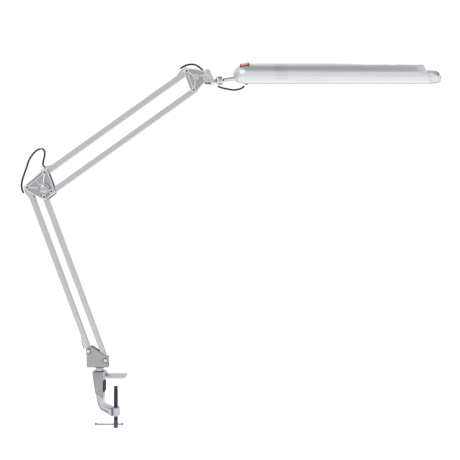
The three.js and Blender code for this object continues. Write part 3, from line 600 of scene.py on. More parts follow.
def make_cable(name, points, nodes):
    route = smooth_route(points)
    piece = cable_tube(name, route)
    smooth(piece)
    piece.name = name
    piece.data.materials.append(FINISH["cable"])
    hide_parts(*nodes)
    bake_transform(piece)
    length_of(route)


def make_cables():
    lower, upper = "elbow_cable_lower", "elbow_cable_upper"
    make_cable("cable_elbow_lower", CABLES[lower], [lower])
    make_cable("cable_elbow_upper", CABLES[upper], [upper])
    make_cable("cable_wrist", CABLES["wrist_cable"], ["wrist_cable"])
    make_cable("cable_head_rod", CABLES["head_cable_rod"], ["head_cable_rod"])
    make_cable("cable_head_end", CABLES["head_cable_head"], ["head_cable_head"])


make_cables()


# ---- arms ----
TUBE = 12 * MM
TUBE_PAST_PIN = 7 * MM
TUBE_WALL = 1 * MM
TUBE_MOUTH = 30 * MM
SHEET = 1.5 * MM


def make_tube(name, start, end, body, look, slot, plugs):
    """A square tube with rounded corners and open ends."""
    length = (end - start).length + 2 * TUBE_PAST_PIN
    half = TUBE / 2
    tube = block(-half, half, -half, half, -TUBE_PAST_PIN, length - TUBE_PAST_PIN)
    round_some(tube, lambda a, b: abs(a.z - b.z) > half, 1.3 * MM, 5)
    use(tube)
    bpy.ops.object.mode_set(mode="EDIT")
    bpy.ops.mesh.select_mode(type="FACE")
    bpy.ops.mesh.select_all(action="DESELECT")
    bpy.ops.object.mode_set(mode="OBJECT")
    for face in tube.data.polygons:
        face.select = abs(face.normal.z) > 0.9
    bpy.ops.object.mode_set(mode="EDIT")
    bpy.ops.mesh.inset(thickness=TUBE_WALL, depth=0)
    bpy.ops.mesh.extrude_region_move()
    bpy.ops.transform.resize(
        value=(1, 1, 1 - 2 * TUBE_MOUTH / length), center_override=(0, 0, length / 2 - TUBE_PAST_PIN),
    )
    bpy.ops.mesh.select_mode(type="VERT")
    bpy.ops.object.mode_set(mode="OBJECT")
    settle(tube, stand(start, lean_of(start, end)))
    finished(tube, f"{name}_sleeve", body, look, slot, f"{name}_tube")
    if plugs:
        for place, z in (("base", -TUBE_PAST_PIN), ("end", length - TUBE_PAST_PIN)):
            inner = half - TUBE_WALL - 0.25 * MM
            direction = 1 if z < 0 else -1
            ends = sorted((z + direction * 0.8 * MM, z + direction * 6 * MM))
            plug = block(-inner, inner, -inner, inner, *ends)
            round_edges(plug, 0.8 * MM)
            settle(plug, stand(start, lean_of(start, end)))
            finished(plug, f"{name}_{place}_plug", body, "black", "black_plastic", f"{name}_{place}_bush")


def make_guides(name, start, end, body, look, slot, base_shift):
    """Bent strips on the tube's outer face that carry the cable."""
    length = (end - start).length
    sheet = SHEET
    for place, z, flip in (("base", base_shift, 1), ("end", length - 9 * MM, -1)):
        half, base, lift = 14 * MM, TUBE / 2 + 0.3 * MM, 4 * MM
        outer = base + lift
        outline = [
            (base, half), (base, half - 6 * MM), (outer - sheet, half - 9 * MM),
            (outer - sheet, -half + 3 * MM), (outer, -half), (outer + sheet, -half + 1 * MM),
            (outer, -half + 5 * MM), (outer, half - 9 * MM), (base + sheet, half - 5 * MM),
            (base + sheet, half),
        ]
        guide = side_plate([(-x, z + flip * h) for x, h in outline], -4 * MM, 4 * MM)
        round_edges(guide, 0.5 * MM, 2, 20)
        settle(guide, stand(start, lean_of(start, end)))
        finished(guide, f"{name}_{place}_shoe", body, look, slot, f"{name}_{place}_guide")


def make_arms():
    lower = ("tube_lower", "arm_tube")
    upper = ("tube_upper", "arm_tube")
    make_tube("lower_rear", BASE_REAR, ELBOW["rear"], "lower_rear_arm", *lower, plugs=False)
    make_tube("lower_front", BASE_FRONT, ELBOW["front"], "lower_front_arm", *lower, plugs=True)
    make_tube("upper_top", ELBOW["top"], WRIST["top"], "upper_top_arm", *upper, plugs=False)
    make_tube("upper_bottom", ELBOW["bottom"], WRIST["bottom"], "upper_bottom_arm", *upper, plugs=True)
    make_guides("lower_rear", BASE_REAR, ELBOW["rear"], "lower_rear_arm", *lower, 20 * MM)
    make_guides("upper_top", ELBOW["top"], WRIST["top"], "upper_top_arm", *upper, 7 * MM)


make_arms()


# ---- knuckles ----
CHEEK_INNER = 7.2 * MM
CHEEK = 2 * MM
CHEEK_FACE = CHEEK_INNER + CHEEK
LOBE = 7.5 * MM
PIN_SHANK = 2.5 * MM
WEB = 0.8 * MM


def rib(start, end, width, y0, y1):
    """A straight raised rib between two points of a plate."""
    a, b = Vector(start), Vector(end)
    side = Vector((-(b - a).y, (b - a).x)).normalized() * width / 2
    corners = [a + side, a - side, b - side, b + side]
    return side_plate([(c.x, c.y) for c in corners], y0, y1)


def ring(centre, outer, inner, y0, y1):
    """A flat ring about Y."""
    made = turned([(inner, y0), (outer, y0), (outer, y1), (inner, y1)], 40)
    settle(made, Matrix.Translation((centre[0], 0, centre[1])) @ Matrix.Rotation(math.radians(-90), 4, "X"))
    return made


def drill(piece, centre, radius, y0=-30 * MM, y1=30 * MM):
    bpy.ops.mesh.primitive_cylinder_add(
        vertices=40, radius=radius, depth=y1 - y0, location=(centre[0], (y0 + y1) / 2, centre[1]),
        rotation=(math.radians(90), 0, 0),
    )
    return cut(piece, new_piece())


def casting(name, side, outline, pins, centre, ribs, holes, lift):
    """One knuckle plate: a web in a raised rim, ribs that meet in the middle, a collar round each pin."""
    at = lambda near, far: tuple(sorted((side * near, side * far)))
    rim_face = CHEEK_FACE + lift
    slimmer = [(x, z, r - 2.2 * MM) for x, z, r in outline]
    plate = side_plate(lobes(outline), *at(CHEEK_INNER, rim_face))
    cut(plate, side_plate(lobes(slimmer), *at(CHEEK_INNER + WEB, rim_face + 5 * MM)))
    spokes = [(pin, centre, 2.6 * MM) for pin in pins]
    for start, end, width in spokes + ribs:
        join(plate, rib(start, end, width, *at(CHEEK_INNER + WEB / 2, rim_face - 0.15 * MM)))
    for pin in pins:
        join(plate, ring(pin, 4.8 * MM, PIN_SHANK, *at(CHEEK_INNER + WEB / 2, CHEEK_FACE + 2.3 * MM)))
        drill(plate, pin, PIN_SHANK - 0.1 * MM)
    for hole, radius in holes:
        join(plate, ring(hole, 6 * MM, radius, *at(CHEEK_INNER + WEB / 2, CHEEK_FACE)))
        if side > 0 and name == "elbow":
            join(plate, ring(hole, 5 * MM, radius, -CHEEK_INNER + 0.3 * MM, CHEEK_FACE - 1 * MM))
        drill(plate, hole, radius)
    round_edges(plate, 0.35 * MM, 2, 35)
    place = "back" if side > 0 else "front"
    finished(plate, f"{name}_casting_{place}", name, "plate", "cast_metal", f"{name}_plate_{place}")


def make_pin(name, centre, body, look, slot, node, hollow=True):
    """A rivet through both plates, with hollow ends inside the collars or with domed heads."""
    tip = CHEEK_FACE + (1.6 * MM if hollow else 2.9 * MM)
    if hollow:
        floor = tip - 0.9 * MM
        half = [(0, floor), (1.2 * MM, floor), (1.5 * MM, tip), (PIN_SHANK - 0.25 * MM, tip)]
    else:
        face = CHEEK_INNER + SHEET + 0.1 * MM
        sweep = [math.radians(90 * i / 7) for i in range(8)]
        half = [(5 * MM * math.sin(a), face + (tip - face) * math.cos(a)) for a in sweep]
        half.append((PIN_SHANK, face))
    pin = turned(half + [(r, -h) for r, h in reversed(half)], 32)
    settle(pin, Matrix.Translation(centre) @ Matrix.Rotation(math.radians(90), 4, "X"))
    finished(pin, name, body, look, slot, node)


def make_elbow():
    pins = {place: flat(point) for place, point in ELBOW.items()}
    outline = [(*pins[place], LOBE) for place in ("rear", "front", "bottom", "top")]
    centre = flat(FRICTION)
    middle_of_edge = tuple((a + b) / 2 for a, b in zip(pins["top"], pins["rear"]))
    ribs = [(pins["rear"], pins["top"], 1.8 * MM), (middle_of_edge, centre, 1.8 * MM)]
    for side in (-1, 1):
        casting("elbow", side, outline, list(pins.values()), centre, ribs, [(centre, 3.3 * MM)], 1.2 * MM)
    for place, point in ELBOW.items():
        make_pin(f"elbow_rivet_{place}", point, "elbow", "dark_steel", "dark_steel", f"elbow_pin_{place}")
    dome = [
        (0, 0.3), (13.6, 0.3), (13.7, 2.4), (12.9, 3.5), (11.6, 3.7), (10.9, 2.7), (10.2, 2.7), (9, 4.4),
        (6.4, 5.4), (3.6, 5.7), (3, 4.8), (0, 4.7),
    ]
    cap = turned([(r * MM, CHEEK_FACE + h * MM) for r, h in dome], 56)
    round_edges(cap, 0.2 * MM, 2, 30)
    at_dome = Matrix.Translation((centre[0] + 2.6 * MM, 0, centre[1] - 1.8 * MM))
    settle(cap, at_dome @ Matrix.Rotation(math.radians(90), 4, "X"))
    finished(cap, "elbow_dome", "elbow", "cast", "cast_metal", "elbow_friction_cap")


def make_wrist():
    top, bottom, tilt = flat(WRIST["top"]), flat(WRIST["bottom"]), flat(TILT)
    round_at = (top[0] + 17.5 * MM, top[1] - 15 * MM)
    outline = [(*top, LOBE), (*bottom, LOBE), (*tilt, 6.5 * MM), (*round_at, 20.5 * MM)]
    centre = (top[0] + 21 * MM, top[1] - 14 * MM)
    ribs = [(centre, (tilt[0] - 9 * MM, tilt[1]), 2.2 * MM), (top, bottom, 1.8 * MM)]
    for side in (-1, 1):
        casting("wrist", side, outline, [top, bottom], centre, ribs, [(tilt, 3.3 * MM)], 0)
    for place, point in WRIST.items():
        make_pin(f"wrist_rivet_{place}", point, "wrist", "dark_steel", "dark_steel", f"wrist_pin_{place}")
    boss = [
        (0, 0.2), (8.6, 0.2), (8.6, 1.5), (7.9, 2.1), (6.4, 2.1), (5.8, 1.4), (2.2, 1.4), (1.6, 2.2),
        (0, 2.4),
    ]
    button = turned([(r * MM, CHEEK_FACE + h * MM) for r, h in boss], 48)
    round_edges(button, 0.2 * MM, 2, 30)
    settle(button, Matrix.Translation((centre[0], 0, centre[1])) @ Matrix.Rotation(math.radians(90), 4, "X"))
    finished(button, "wrist_boss", "wrist", "cast", "cast_metal")


# ---- neck, ball joint and rod ----
EAR_INNER = CHEEK_FACE + 0.5 * MM
EAR_OUTER = EAR_INNER + 2.4 * MM
ROD_FRAME = aim(BALL, ROD_AXIS)
ROD_LENGTH = (HINGE - BALL).length


def spun(profile, matrix, steps=48, rounding=0):
    """A turned piece from millimetre pairs, set in a frame whose Z is its axis."""
    made = turned([(r * MM, h * MM) for r, h in profile], steps)
    if rounding:
        round_edges(made, rounding, 2, 30)
    settle(made, matrix)
    return made


def make_neck():
    tilt = flat(TILT)
    stem = (tilt[0] + 10.5 * MM, tilt[1] - 13 * MM)
    ear = lobes([
        (tilt[0] - 3 * MM, tilt[1] - 9 * MM, 8 * MM), (*stem, 5 * MM), (tilt[0], tilt[1] + 5 * MM, 8 * MM),
    ])
    fork = side_plate(ear, -EAR_OUTER, -EAR_INNER)
    other = side_plate(ear, EAR_INNER, EAR_OUTER)
    for plate in (fork, other):
        round_edges(plate, 0.8 * MM, 3)
        drill(plate, tilt, 3.3 * MM)
    back = math.hypot(BALL.x - stem[0], BALL.z - stem[1])
    reach = EAR_OUTER - 0.6 * MM
    bridge = turned([(0, -reach), (5 * MM, -reach), (5 * MM, reach), (0, reach)], 40)
    settle(bridge, Matrix.Translation((stem[0], 0, stem[1])) @ Matrix.Rotation(math.radians(90), 4, "X"))
    start, end = -back / MM, -9.3
    stalk = [(0, start), (4.4, start), (4.4, end - 5), (3.4, end - 4), (3.4, end - 1.5), (5, end), (0, end)]
    stalk = spun(stalk, ROD_FRAME)
    join(fork, other, bridge, stalk)
    finished(fork, "neck_casting", "neck", "cast", "cast_metal", "neck_fork")

    face = EAR_OUTER / MM + 0.3
    away = Matrix.Translation(TILT) @ Matrix.Rotation(math.radians(90), 4, "X")
    sweep = [math.radians(90 * i / 6) for i in range(7)]
    head = [(4 * math.sin(a), face + 1 + 1.5 * math.cos(a)) for a in sweep]
    screw = spun(head + [(4, face), (3, face), (3, -face - 3), (0, -face - 3)], away, 40)
    slit = block(-5 * MM, 5 * MM, -0.45 * MM, 0.45 * MM, 0, 3 * MM)
    at_face = away @ Matrix.Translation((0, 0, (face + 1.5) * MM))
    settle(slit, at_face @ Matrix.Rotation(math.radians(35), 4, "Z"))
    cut(screw, slit)
    finished(screw, "tilt_bolt", "neck", "steel", "dark_steel", "tilt_screw")
    nut = turned([(3.2 * MM, -face * MM - 2.6 * MM), (5 * MM, -face * MM - 2.6 * MM), (5 * MM, -face * MM),
                  (3.2 * MM, -face * MM)], 6)
    round_edges(nut, 0.3 * MM, 2, 30)
    settle(nut, away)
    finished(nut, "tilt_hex_nut", "neck", "steel", "steel", "tilt_nut")


def make_ball_joint():
    seat = 6.3
    lip = 5
    start = math.asin(lip / seat)
    sweep = [start + (math.pi - start) * i / 10 for i in range(11)]
    bowl = [(seat * math.sin(a) if i < 10 else 0, seat * math.cos(a)) for i, a in enumerate(sweep)]
    outside = [
        (0, -9), (4.6, -9), (5, -8.6), (5.2, -7.6), (7, -6.9), (8.8, -5), (9.7, -2.6), (10, -0.2), (9.9, 1.2),
        (9.2, 1.8), (9.2, 2.6), (9.9, 3.0), (9.9, 5.4), (9.2, 7.6), (8.6, 8), (7.0, 8),
    ]
    barrel = spun(outside + bowl, ROD_FRAME, 56)
    finished(barrel, "socket_barrel", "swivel_barrel", "cast", "cast_metal", "swivel_barrel")

    neck = math.asin(3 / 6)
    sweep = [math.pi - (math.pi - neck) * i / 14 for i in range(15)]
    ball = [(6 * math.sin(a), 6 * math.cos(a)) for a in sweep]
    ball[0] = (0, -6)
    end = ROD_LENGTH / MM + 4
    shank = [
        (3, 9.6), (3.4, 10.2), (4.6, 11.4), (4.6, 15), (4.1, 15.4), (4.1, 16.4), (4.6, 16.8),
        (4.6, end - 0.8), (3.8, end), (0, end),
    ]
    rod = spun(ball + shank, ROD_FRAME, 40)
    finished(rod, "ball_stud", "head_rod", "steel", "steel", "ball_rod")
    pin = spun([(0, -11), (1.6, -11), (2, -10.6), (2, 10.6), (1.6, 11), (0, 11)], aim(HINGE, HINGE_AXIS), 32)
    finished(pin, "hinge_pin", "head_rod", "steel", "steel", "head_hinge_pin")


make_elbow()
make_wrist()
make_neck()
make_ball_joint()


# ---- clamp ----
def side_mm(points, y0, y1):
    """A side plate from millimetre values."""
    return side_plate([(x * MM, z * MM) for x, z in points], y0 * MM, y1 * MM)


def lying_mm(points, z0, z1):
    """A plate with an outline seen from above, in millimetres."""
    plate = side_mm([(x, -y) for x, y in points], z0, z1)
    settle(plate, Matrix.Rotation(math.radians(90), 4, "X"))
    return plate


def box_mm(x0, x1, y0, y1, z0, z1):
    return block(*(v * MM for v in (x0, x1, y0, y1, z0, z1)))


def tilted(piece, x, z, lean):
    settle(piece, Matrix.Translation((x * MM, 0, z * MM)) @ Matrix.Rotation(lean, 4, "Y"))
    return piece


def upright(x):
    return Matrix.Translation((x * MM, 0, 0))


SPINE_HALF = 15
JAW_HALF = 20
SWIVEL_X = -37


def make_clamp_frame():
    outside = curve_through((-30, -74), (-40, -65), (-44, -38), 10)
    outside += curve_through((-44, -38), (-49, -16), (-52, 15), 10)[1:]
    inside = curve_through((SPINE_X, -56), (SPINE_X, -62), (-22, -64), 6)
    neck = curve_through((-25.2, 15), (-22.6, 11), (-21, 5), 4)
    side = [(SPINE_X, -1)] + inside + [(-8, -70), (-7, -88)] + outside + neck + [(-21, 1), (SPINE_X, 1)]
    spine = side_mm(side, -SPINE_HALF, SPINE_HALF)
    round_edges(spine, 2.2 * MM, 4)
    hollow = [
        (-31, -44), (-31, -61), (-27, -66), (-14, -74), (-14, -79), (-32, -70), (-37, -62), (-40, -44),
    ]
    for y0, y1 in ((-SPINE_HALF - 2, -SPINE_HALF + 4), (SPINE_HALF - 4, SPINE_HALF + 2)):
        recess = side_mm(hollow, y0, y1)
        round_edges(recess, 0.9 * MM, 3)
        cut(spine, recess)

    half = curve_through((-28, -15), (-19, -20), (-11, -20), 5) + arc((19, -14), 6, -90, 0, 5)
    jaw = lying_mm(half + [(x, -y) for x, y in reversed(half)], 0, 5)
    round_edges(jaw, 1.1 * MM, 3)
    curl = [(18.5, 3), (18.5, 4.8), (20.4, 5.4), (21.4, 7.2), (22.8, 8), (24.3, 7.5), (25, 6), (25, 3)]
    edge = side_mm(curl, -JAW_HALF + 6.5, JAW_HALF - 6.5)
    round_edges(edge, 0.7 * MM, 3)
    teardrop = side_mm([(-24, 3), (-24, 13.6), (-20.5, 11), (-14, 6.6), (-8, 4.8), (-8, 3)], -3.2, 3.2)
    round_edges(teardrop, 1.4 * MM, 4, 20)
    boss = spun([(0, -89), (8.6, -89), (10, -87.8), (10, -70.2), (9, -69), (0, -69)], upright(0), 48)
    join(spine, jaw, edge, teardrop, boss)
    cut(spine, spun([(0, -92), (5.45, -92), (5.45, -66), (0, -66)], upright(0), 48))
    cut(spine, spun([(0, -5), (7.6, -5), (7.6, 18), (0, 18)], upright(SWIVEL_X), 48))
    for y in (-SPINE_HALF, SPINE_HALF):
        seam = box_mm(-30, 30, y - 0.7, y + 0.7, -0.35, 0.35)
        cut(spine, tilted(seam, SEAM_X, SEAM_Z, math.atan(SEAM_FALL)))
    finished(spine, "clamp_casting", "clamp", "clamp", "clamp_paint", "clamp_frame")


def screw_thread(root, crest, pitch, low, high):
    """One helical ridge round the Z axis, closed at both ends."""
    bpy.ops.mesh.primitive_circle_add(vertices=4, radius=1, fill_type="NOTHING")
    ridge = new_piece()
    corners = [(root - 0.4, 0), (crest, 0.42 * pitch), (crest, 0.58 * pitch), (root - 0.4, pitch)]
    for vertex, (r, h) in zip(ridge.data.vertices, corners):
        vertex.co = (r * MM, 0, (low + h) * MM)
    turns = int((high - low) / pitch) - 1
    modify(
        ridge, "SCREW", axis="Z", screw_offset=pitch * MM, iterations=turns, steps=28,
        use_merge_vertices=False,
    )
    use(ridge)
    bpy.ops.object.mode_set(mode="EDIT")
    bpy.ops.mesh.select_mode(type="VERT")
    bpy.ops.mesh.select_all(action="DESELECT")
    bpy.ops.mesh.select_non_manifold()
    bpy.ops.mesh.fill()
    bpy.ops.object.mode_set(mode="OBJECT")
    return ridge


SCREW_END = -117
TOMMY_HEIGHT = -109


def make_screw():
    foot = SCREW_END
    core = [
        (0, foot), (3.6, foot), (4.4, foot + 0.8), (4.4, -104), (4.3, -103), (4.3, -28), (3.4, -26), (0, -26),
    ]
    head = [(0, foot), (4.4, foot), (5, foot + 0.6), (5, -102.6), (4.2, -101.8), (0, -101.8)]
    core = spun(core, upright(0), 40)
    join(core, spun(head, upright(0), 40))
    across = Matrix.Translation((0, 0, TOMMY_HEIGHT * MM)) @ Matrix.Rotation(math.radians(90), 4, "Y")
    through = turned([(0, -9 * MM), (2.3 * MM, -9 * MM), (2.3 * MM, 9 * MM), (0, 9 * MM)], 32)
    settle(through, across)
    cut(core, through)
    thread = screw_thread(4.3, 5, 1.5, -101, -27)
    deselect()
    thread.select_set(True)
    core.select_set(True)
    bpy.context.view_layer.objects.active = core
    bpy.ops.object.join()
    steel = "dark_steel"
    finished(core, "threaded_spindle", "clamp_screw", steel, steel, "clamp_screw", angle=math.radians(28))

    cap = [(0, -25.7), (4.2, -25.7), (5, -24.9), (5, -22.2), (4.4, -21.4), (3.6, -21), (0, -21)]
    cap = spun(cap, upright(0), 40)
    finished(cap, "tip_pad", "screw_tip", "rubber", "black_plastic", "screw_tip_cap")

    low, high = -46, 15
    knob = [(0, -3.2), (1.9, -3.1), (3, -2.2), (3.2, 0), (2.9, 1.8), (2.2, 3), (2, 4)]
    left = [(r, low + h) for r, h in knob]
    right = [(r, high - h) for r, h in reversed(knob)]
    handle = spun(left + right, across, 32)
    finished(handle, "tommy_handle", "tommy_bar", "bar", "steel", "tommy_bar")


def make_clamp_fittings():
    face, root = -23.7, -24.3
    teeth = []
    for i in range(6):
        z = -30.5 + 3.75 * i
        teeth += [(root, z), (face, z + 0.6), (face, z + 2.6), (root, z + 3.2)]
    pad = side_mm([(-26.7, -32), (root, -32), *teeth, (root, -8), (-26.7, -8)], -11, 11)
    round_edges(pad, 0.3 * MM, 2)
    finished(pad, "edge_pad", "clamp", "rubber", "black_plastic", "edge_buffer")

    profile = [
        (5.3, -4.7), (7.3, -4.7), (7.3, 15.3), (9.2, 15.3), (9.8, 15.9), (9.8, 18), (9.2, 18.5), (9.2, 19.2),
        (9.8, 19.7), (9.8, 21.5), (9.1, 22.3), (5.3, 22.3),
    ]
    bush = spun(profile, upright(SWIVEL_X), 56)
    finished(bush, "swivel_collar", "clamp", "cast", "sheet_grey", "swivel_bush")
    pivot = [
        (0, -4), (4.4, -4), (5, -3.4), (5, 22.5), (4, 22.5), (4, 24.9), (6, 24.9), (5.6, 26), (4, 26.8),
        (0, 26.9),
    ]
    post = spun(pivot, upright(SWIVEL_X), 48)
    finished(post, "swivel_post", "base_bracket", "steel", "steel", "swivel_pin")


# ---- base bracket ----
BRACKET_LOW = 23


def long_below(top):
    """A test for the long edges under a height in millimetres."""
    return lambda a, b: max(a.z, b.z) < top * MM and abs(a.x - b.x) > 10 * MM


def make_bracket():
    ax, az = BASE_REAR.x / MM, BASE_REAR.z / MM
    bx, bz = BASE_FRONT.x / MM, BASE_FRONT.z / MM
    low = BRACKET_LOW
    crown = curve_through((bx + 6, bz + 5), (bx + 6, bz + 9.5), (bx - 1, bz + 11), 6)
    brow = curve_through((ax + 7, az + 10), (ax - 2, az + 11), (ax - 5.5, az + 2), 8)
    side = [(ax - 4.5, low), (bx + 6, low)] + crown + brow
    outer = (CHEEK_INNER + SHEET) / MM
    inner = CHEEK_INNER / MM
    body = side_mm(side, -outer, outer)
    round_some(body, long_below(low + 0.1), 2.2 * MM, 5)
    channel = box_mm(ax - 30, bx + 30, -inner, inner, low + 1.5, az + 30)
    round_some(channel, long_below(low + 1.6), 0.8 * MM, 3)
    cut(body, channel)
    for pin in (BASE_REAR, BASE_FRONT):
        drill(body, flat(pin), 2.8 * MM)
    cut(body, spun([(0, low - 3), (4.3, low - 3), (4.3, low + 4), (0, low + 4)], upright(SWIVEL_X), 40))
    round_edges(body, 0.25 * MM, 2, 35)
    finished(body, "bracket_channel", "base_bracket", "sheet", "sheet_grey", "base_bracket")
    on = "base_bracket"
    for place, point in (("rear", BASE_REAR), ("front", BASE_FRONT)):
        make_pin(f"bracket_rivet_{place}", point, on, "steel", "steel", f"base_rivet_{place}", hollow=False)
        for side, face in ((-1, "front"), (1, "back")):
            near, far = sorted((side * (outer - 0.1) * MM, side * (outer + 0.35) * MM))
            washer = ring(flat(point), 5.9 * MM, 3 * MM, near, far)
            finished(washer, f"bracket_washer_{place}_{face}", on, "dark_steel", "dark_steel")


make_clamp_frame()
make_screw()
make_clamp_fittings()
make_bracket()


# ---- head ----
HEAD_START = HINGE + Vector((-HEAD_BACK, 0, HEAD_UP)) * MM
HEAD_FRAME = Matrix.Translation(HEAD_START) @ Matrix.Rotation(HEAD_ROLL, 4, "X")
HEAD_LENGTH = 452
HALF_WIDTH = 29
CROWN = 27
DOME = 34
FACET_AT = HEAD_LENGTH - 41
FACET_TURN = math.radians(26)
FACET_OUT = 27.6
END_LEAN = math.radians(-24)
FACET_SLOPE = math.radians(11)
WALL = 2
SLOT = 27
LENS_FROM = 46


def past_end(shift):
    """Everything beyond the slanted end plane."""
    return tilted(box_mm(shift, 200, -100, 100, -100, 100), HEAD_LENGTH, SILL, END_LEAN)


def head_form(inset, steps=96):
    """The outer form of the head, or one inside it: a long dome with two facets and a slanted end."""
    rise = [math.radians(90 * i / 18) for i in range(19)]
    profile = [(math.sin(a), (DOME - (DOME - inset) * math.cos(a)) * MM) for a in rise]
    tail = (HEAD_LENGTH + 20) * MM
    form = turned([*profile, (1, tail), (0, tail)], steps)
    settle(form, Matrix.Diagonal((1, HALF_WIDTH * MM - inset * MM, CROWN * MM - inset * MM, 1))
           @ Matrix.Rotation(math.radians(90), 4, "Y"))
    cut(form, past_end(-inset))
    for side in (-1, 1):
        facet = box_mm(-inset, 200, -100, 100, 0, 100)
        turn = Matrix.Translation((FACET_AT * MM, 0, 0)) @ Matrix.Rotation(side * FACET_TURN, 4, "X")
        out = Matrix.Translation((0, 0, (FACET_OUT - inset) * MM)) @ Matrix.Rotation(FACET_SLOPE, 4, "Y")
        settle(facet, turn @ out)
        cut(form, facet)
    return form


def on_head(piece):
    settle(piece, HEAD_FRAME)
    return piece


VENT_FROM = 95.5
VENT_WIDTH = 2
VENT_STEP = 5
VENT_DEPTH = 1.3


def vents():
    """Shallow cross grooves in the upper front of the dome."""
    band = cut(head_form(-1, 64), head_form(VENT_DEPTH, 64))
    slat = lambda x: box_mm(x, x + VENT_WIDTH, -40, -2, 3, 40)
    slats = join(slat(VENT_FROM), *(slat(VENT_FROM + VENT_STEP * i) for i in range(1, 6)))
    return cut(band, slats, "INTERSECT")


SWITCH_X = 27
SWITCH_SUNK = 1.6
SWITCH_Z = CROWN * math.sqrt(1 - ((DOME - SWITCH_X) / DOME) ** 2) - SWITCH_SUNK
SWITCH_SLOPE = math.atan2(CROWN * (DOME - SWITCH_X), DOME * DOME)


def on_switch(piece):
    return tilted(piece, SWITCH_X, SWITCH_Z, -SWITCH_SLOPE)


def make_head_shell():
    shell = head_form(0)
    sine, cosine = math.sin(-END_LEAN), math.cos(END_LEAN)
    on_end = lambda p: abs((p.x - HEAD_LENGTH * MM) * cosine + (p.z - SILL * MM) * sine) < 0.02 * MM
    round_some(shell, lambda a, b: on_end(a) and on_end(b), 1.3 * MM, 3)
    cut(shell, head_form(WALL, 64))
    cut(shell, box_mm(-10, HEAD_LENGTH + 60, -60, 60, -100, SILL))
    rolled_y = -HEAD_UP * math.sin(HEAD_ROLL)
    rolled_z = -HEAD_UP * math.cos(HEAD_ROLL)
    slot = box_mm(-5, SLOT, rolled_y - 8.5, rolled_y + 8.5, -60, rolled_z + 6)
    slot_top = lambda a, b: min(a.z, b.z) > -30 * MM and abs(a.x - b.x) > 5 * MM
    round_some(slot, slot_top, 3 * MM, 4)
    cut(shell, slot)
    cut(shell, on_switch(box_mm(-11, 11, -8.5, 8.5, -20, 20)))
    cut(shell, vents())
    settle(shell, HEAD_FRAME)
    finished(shell, "lamp_housing", "head", "head", "head_silver", "head_shell", angle=math.radians(24))


def make_switch():
    frame_ring = box_mm(-10.9, 10.9, -8.4, 8.4, -5, 1.5)
    round_some(frame_ring, lambda a, b: abs(a.z - b.z) > 2 * MM, 1.6 * MM, 4)
    cut(frame_ring, box_mm(-10, 10, -7.4, 7.4, -8, 5))
    round_edges(frame_ring, 0.35 * MM, 2)
    on_switch(frame_ring)
    finished(on_head(frame_ring), "switch_bezel", "head", "black", "black_plastic", "switch_frame")
    sweep = curve_through((9, 3.6), (0, 1.1), (-9, 2.2), 10)
    rocker = side_mm([(-9, -3.5), (9, -3.5), *sweep], -6.5, 6.5)
    round_edges(rocker, 0.5 * MM, 3, 30)
    for i in range(3):
        ridge = box_mm(4.6 + 1.4 * i, 5.3 + 1.4 * i, -4, 4, 1.4, 3.6 + 0.12 * i)
        join(rocker, ridge)
    on_switch(rocker)
    finished(on_head(rocker), "rocker", "switch_rocker", "switch", "switch_orange", "switch_rocker")


def make_handle():
    def loop(half, reach, corner, z0, z1):
        far = HEAD_LENGTH + reach - corner
        outline = [(HEAD_LENGTH - 30, -half)] + arc((far, corner - half), corner, -90, 0, 10)
        outline += arc((far, half - corner), corner, 0, 90, 10) + [(HEAD_LENGTH - 30, half)]
        return lying_mm(outline, z0, z1)

    low, high = SILL - 1.5, SILL + 14.5
    outer = loop(22, 27, 17, low, high)
    round_edges(outer, 1.6 * MM, 4)
    inner = loop(18, 23, 13, low - 5, high + 5)
    cut(outer, inner)
    round_edges(outer, 0.8 * MM, 3)
    foot = box_mm(HEAD_LENGTH - 30, HEAD_LENGTH + 60, -21.9, 21.9, low + 0.1, -5)
    cut(foot, past_end(2.8))
    join(outer, foot)
    cut(outer, past_end(0.3), "INTERSECT")
    finished(on_head(outer), "grip_loop", "head", "head", "head_silver", "handle_loop")


def slab(x0, x1, z0, z1, inset):
    plate = box_mm(x0, x1, -60, 60, z0, z1)
    return cut(plate, head_form(inset, 64), "INTERSECT")


def make_underside():
    lens = slab(LENS_FROM, HEAD_LENGTH - 14, SILL, SILL + 2, WALL + 0.3)
    round_edges(lens, 0.3 * MM, 2)
    finished(on_head(lens), "diffuser", "head", "lens", "lens_acrylic", "lens")
    plate = slab(SLOT + 0.3, LENS_FROM - 0.3, SILL, SILL + 2, WALL + 0.3)
    gland_at = Matrix.Translation((31 * MM, -16 * MM, SILL * MM))
    cut(plate, spun([(0, -9), (3.6, -9), (3.6, 9), (0, 9)], gland_at, 32))
    round_edges(plate, 0.3 * MM, 2)
    finished(on_head(plate), "terminal_cover", "head", "head", "head_silver", "dome_plate")
    sleeve = [
        (2.4, -6), (2.9, -6), (3.2, -5.6), (3.1, -4.6), (3.5, -4.2), (3.4, -3.2), (3.8, -2.8), (3.7, -1.8),
        (4.3, -1.4), (4.3, -0.3), (3.3, -0.3), (3.3, 3), (2.4, 3),
    ]
    gland = spun(sleeve, gland_at, 36)
    finished(on_head(gland), "strain_relief", "head", "black", "black_plastic", "cable_gland")


make_head_shell()
make_switch()
make_handle()
make_underside()


# ---- pieces of the frame that stay in view ----
def keep_nodes():
    """Inner parts and fittings that need no new shape get a finish of their own."""
    looks = {
        "elbow_friction_bolt": "steel", "head_hinge_bracket": "steel", "lower_front_spring": "steel",
        "upper_bottom_spring": "steel", "reflector": "reflector", "ballast": "white", "lamp_holder": "white",
        "lamp_clip": "white", "lamp_tube": "lamp",
    }
    for node, look in looks.items():
        materials = frame["nodes"][node].data.materials
        materials.clear()
        materials.append(FINISH[look])


keep_nodes()


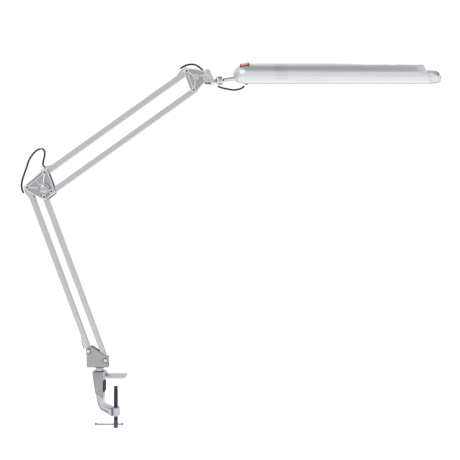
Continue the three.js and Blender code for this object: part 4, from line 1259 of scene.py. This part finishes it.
# ---- light and floor ----
def make_world():
    """A white studio: dark overhead, bright all round, and a little brighter with height in front."""
    world = bpy.data.worlds.new("studio")
    bpy.context.scene.world = world
    world.use_nodes = True
    tree = world.node_tree
    tree.nodes.clear()
    output = tree.nodes.new("ShaderNodeOutputWorld")
    background = tree.nodes.new("ShaderNodeBackground")
    direction = tree.nodes.new("ShaderNodeTexCoord")
    parts = tree.nodes.new("ShaderNodeSeparateXYZ")
    tree.links.new(direction.outputs["Generated"], parts.inputs[0])

    def ramp(value, low, high, start, end):
        node = tree.nodes.new("ShaderNodeMapRange")
        node.interpolation_type = "SMOOTHSTEP"
        tree.links.new(value.socket, node.inputs["Value"])
        for key, value in (("From Min", low), ("From Max", high), ("To Min", start), ("To Max", end)):
            node.inputs[key].default_value = value
        return Value(tree, node.outputs["Result"])

    x, y, z = (Value(tree, parts.outputs[axis]) for axis in "XYZ")
    overhead = ramp(z * 0.9 - y * 0.44, *OVERHEAD)
    sides = ramp(x * x, *SIDES)
    front = ramp(y, -0.6, 0.2, 1, 0)
    lift = ramp(z, *FRONT_LIFT)
    strength = overhead * sides * (front * (lift - 1) + 1)
    background.inputs["Color"].default_value = (1, 1, 1, 1)
    tree.links.new(strength.socket, background.inputs["Strength"])
    tree.links.new(background.outputs[0], output.inputs[0])


OVERHEAD = (0.76, 0.96, 1.05, 0.2)
SIDES = (0.5, 0.9, 1.0, 0.6)
FRONT_LIFT = (-0.25, 0.25, 0.8, 1.1)
make_world()


def soft_light(name, place, target, size, energy):
    data = bpy.data.lights.new(name, "AREA")
    data.shape = "DISK"
    data.size = size
    data.energy = energy
    light = bpy.data.objects.new(name, data)
    bpy.context.collection.objects.link(light)
    light.location = place
    light.rotation_euler = (Vector(target) - Vector(place)).to_track_quat("-Z", "Y").to_euler()


soft_light("key", (-1.1, -1.7, 2.1), (0.1, 0, 0.45), 1.5, 9)
soft_light("rim", (1.3, 1.1, 1.5), (0.3, 0, 0.5), 1.0, 8)


def make_floor():
    bpy.ops.mesh.primitive_plane_add(size=9, location=(0.26, 0, cad_low.z - 0.045))
    floor = new_piece()
    floor.name = "floor"
    finish = Finish("pale_floor", 0.6, 0.0, {"Emission Strength": 0.6, "Emission Color": (1, 1, 1, 1)})
    drift = finish.noise(1.5, 2)
    drifts = finish.remap(drift, 0.3, 0.7, 0, 1)
    finish.feed("Base Color", finish.between(drifts, (0.84, 0.84, 0.84), (0.87, 0.87, 0.87)))
    floor.data.materials.append(finish.material)


make_floor()
bpy.context.scene.view_settings.view_transform = "Standard"
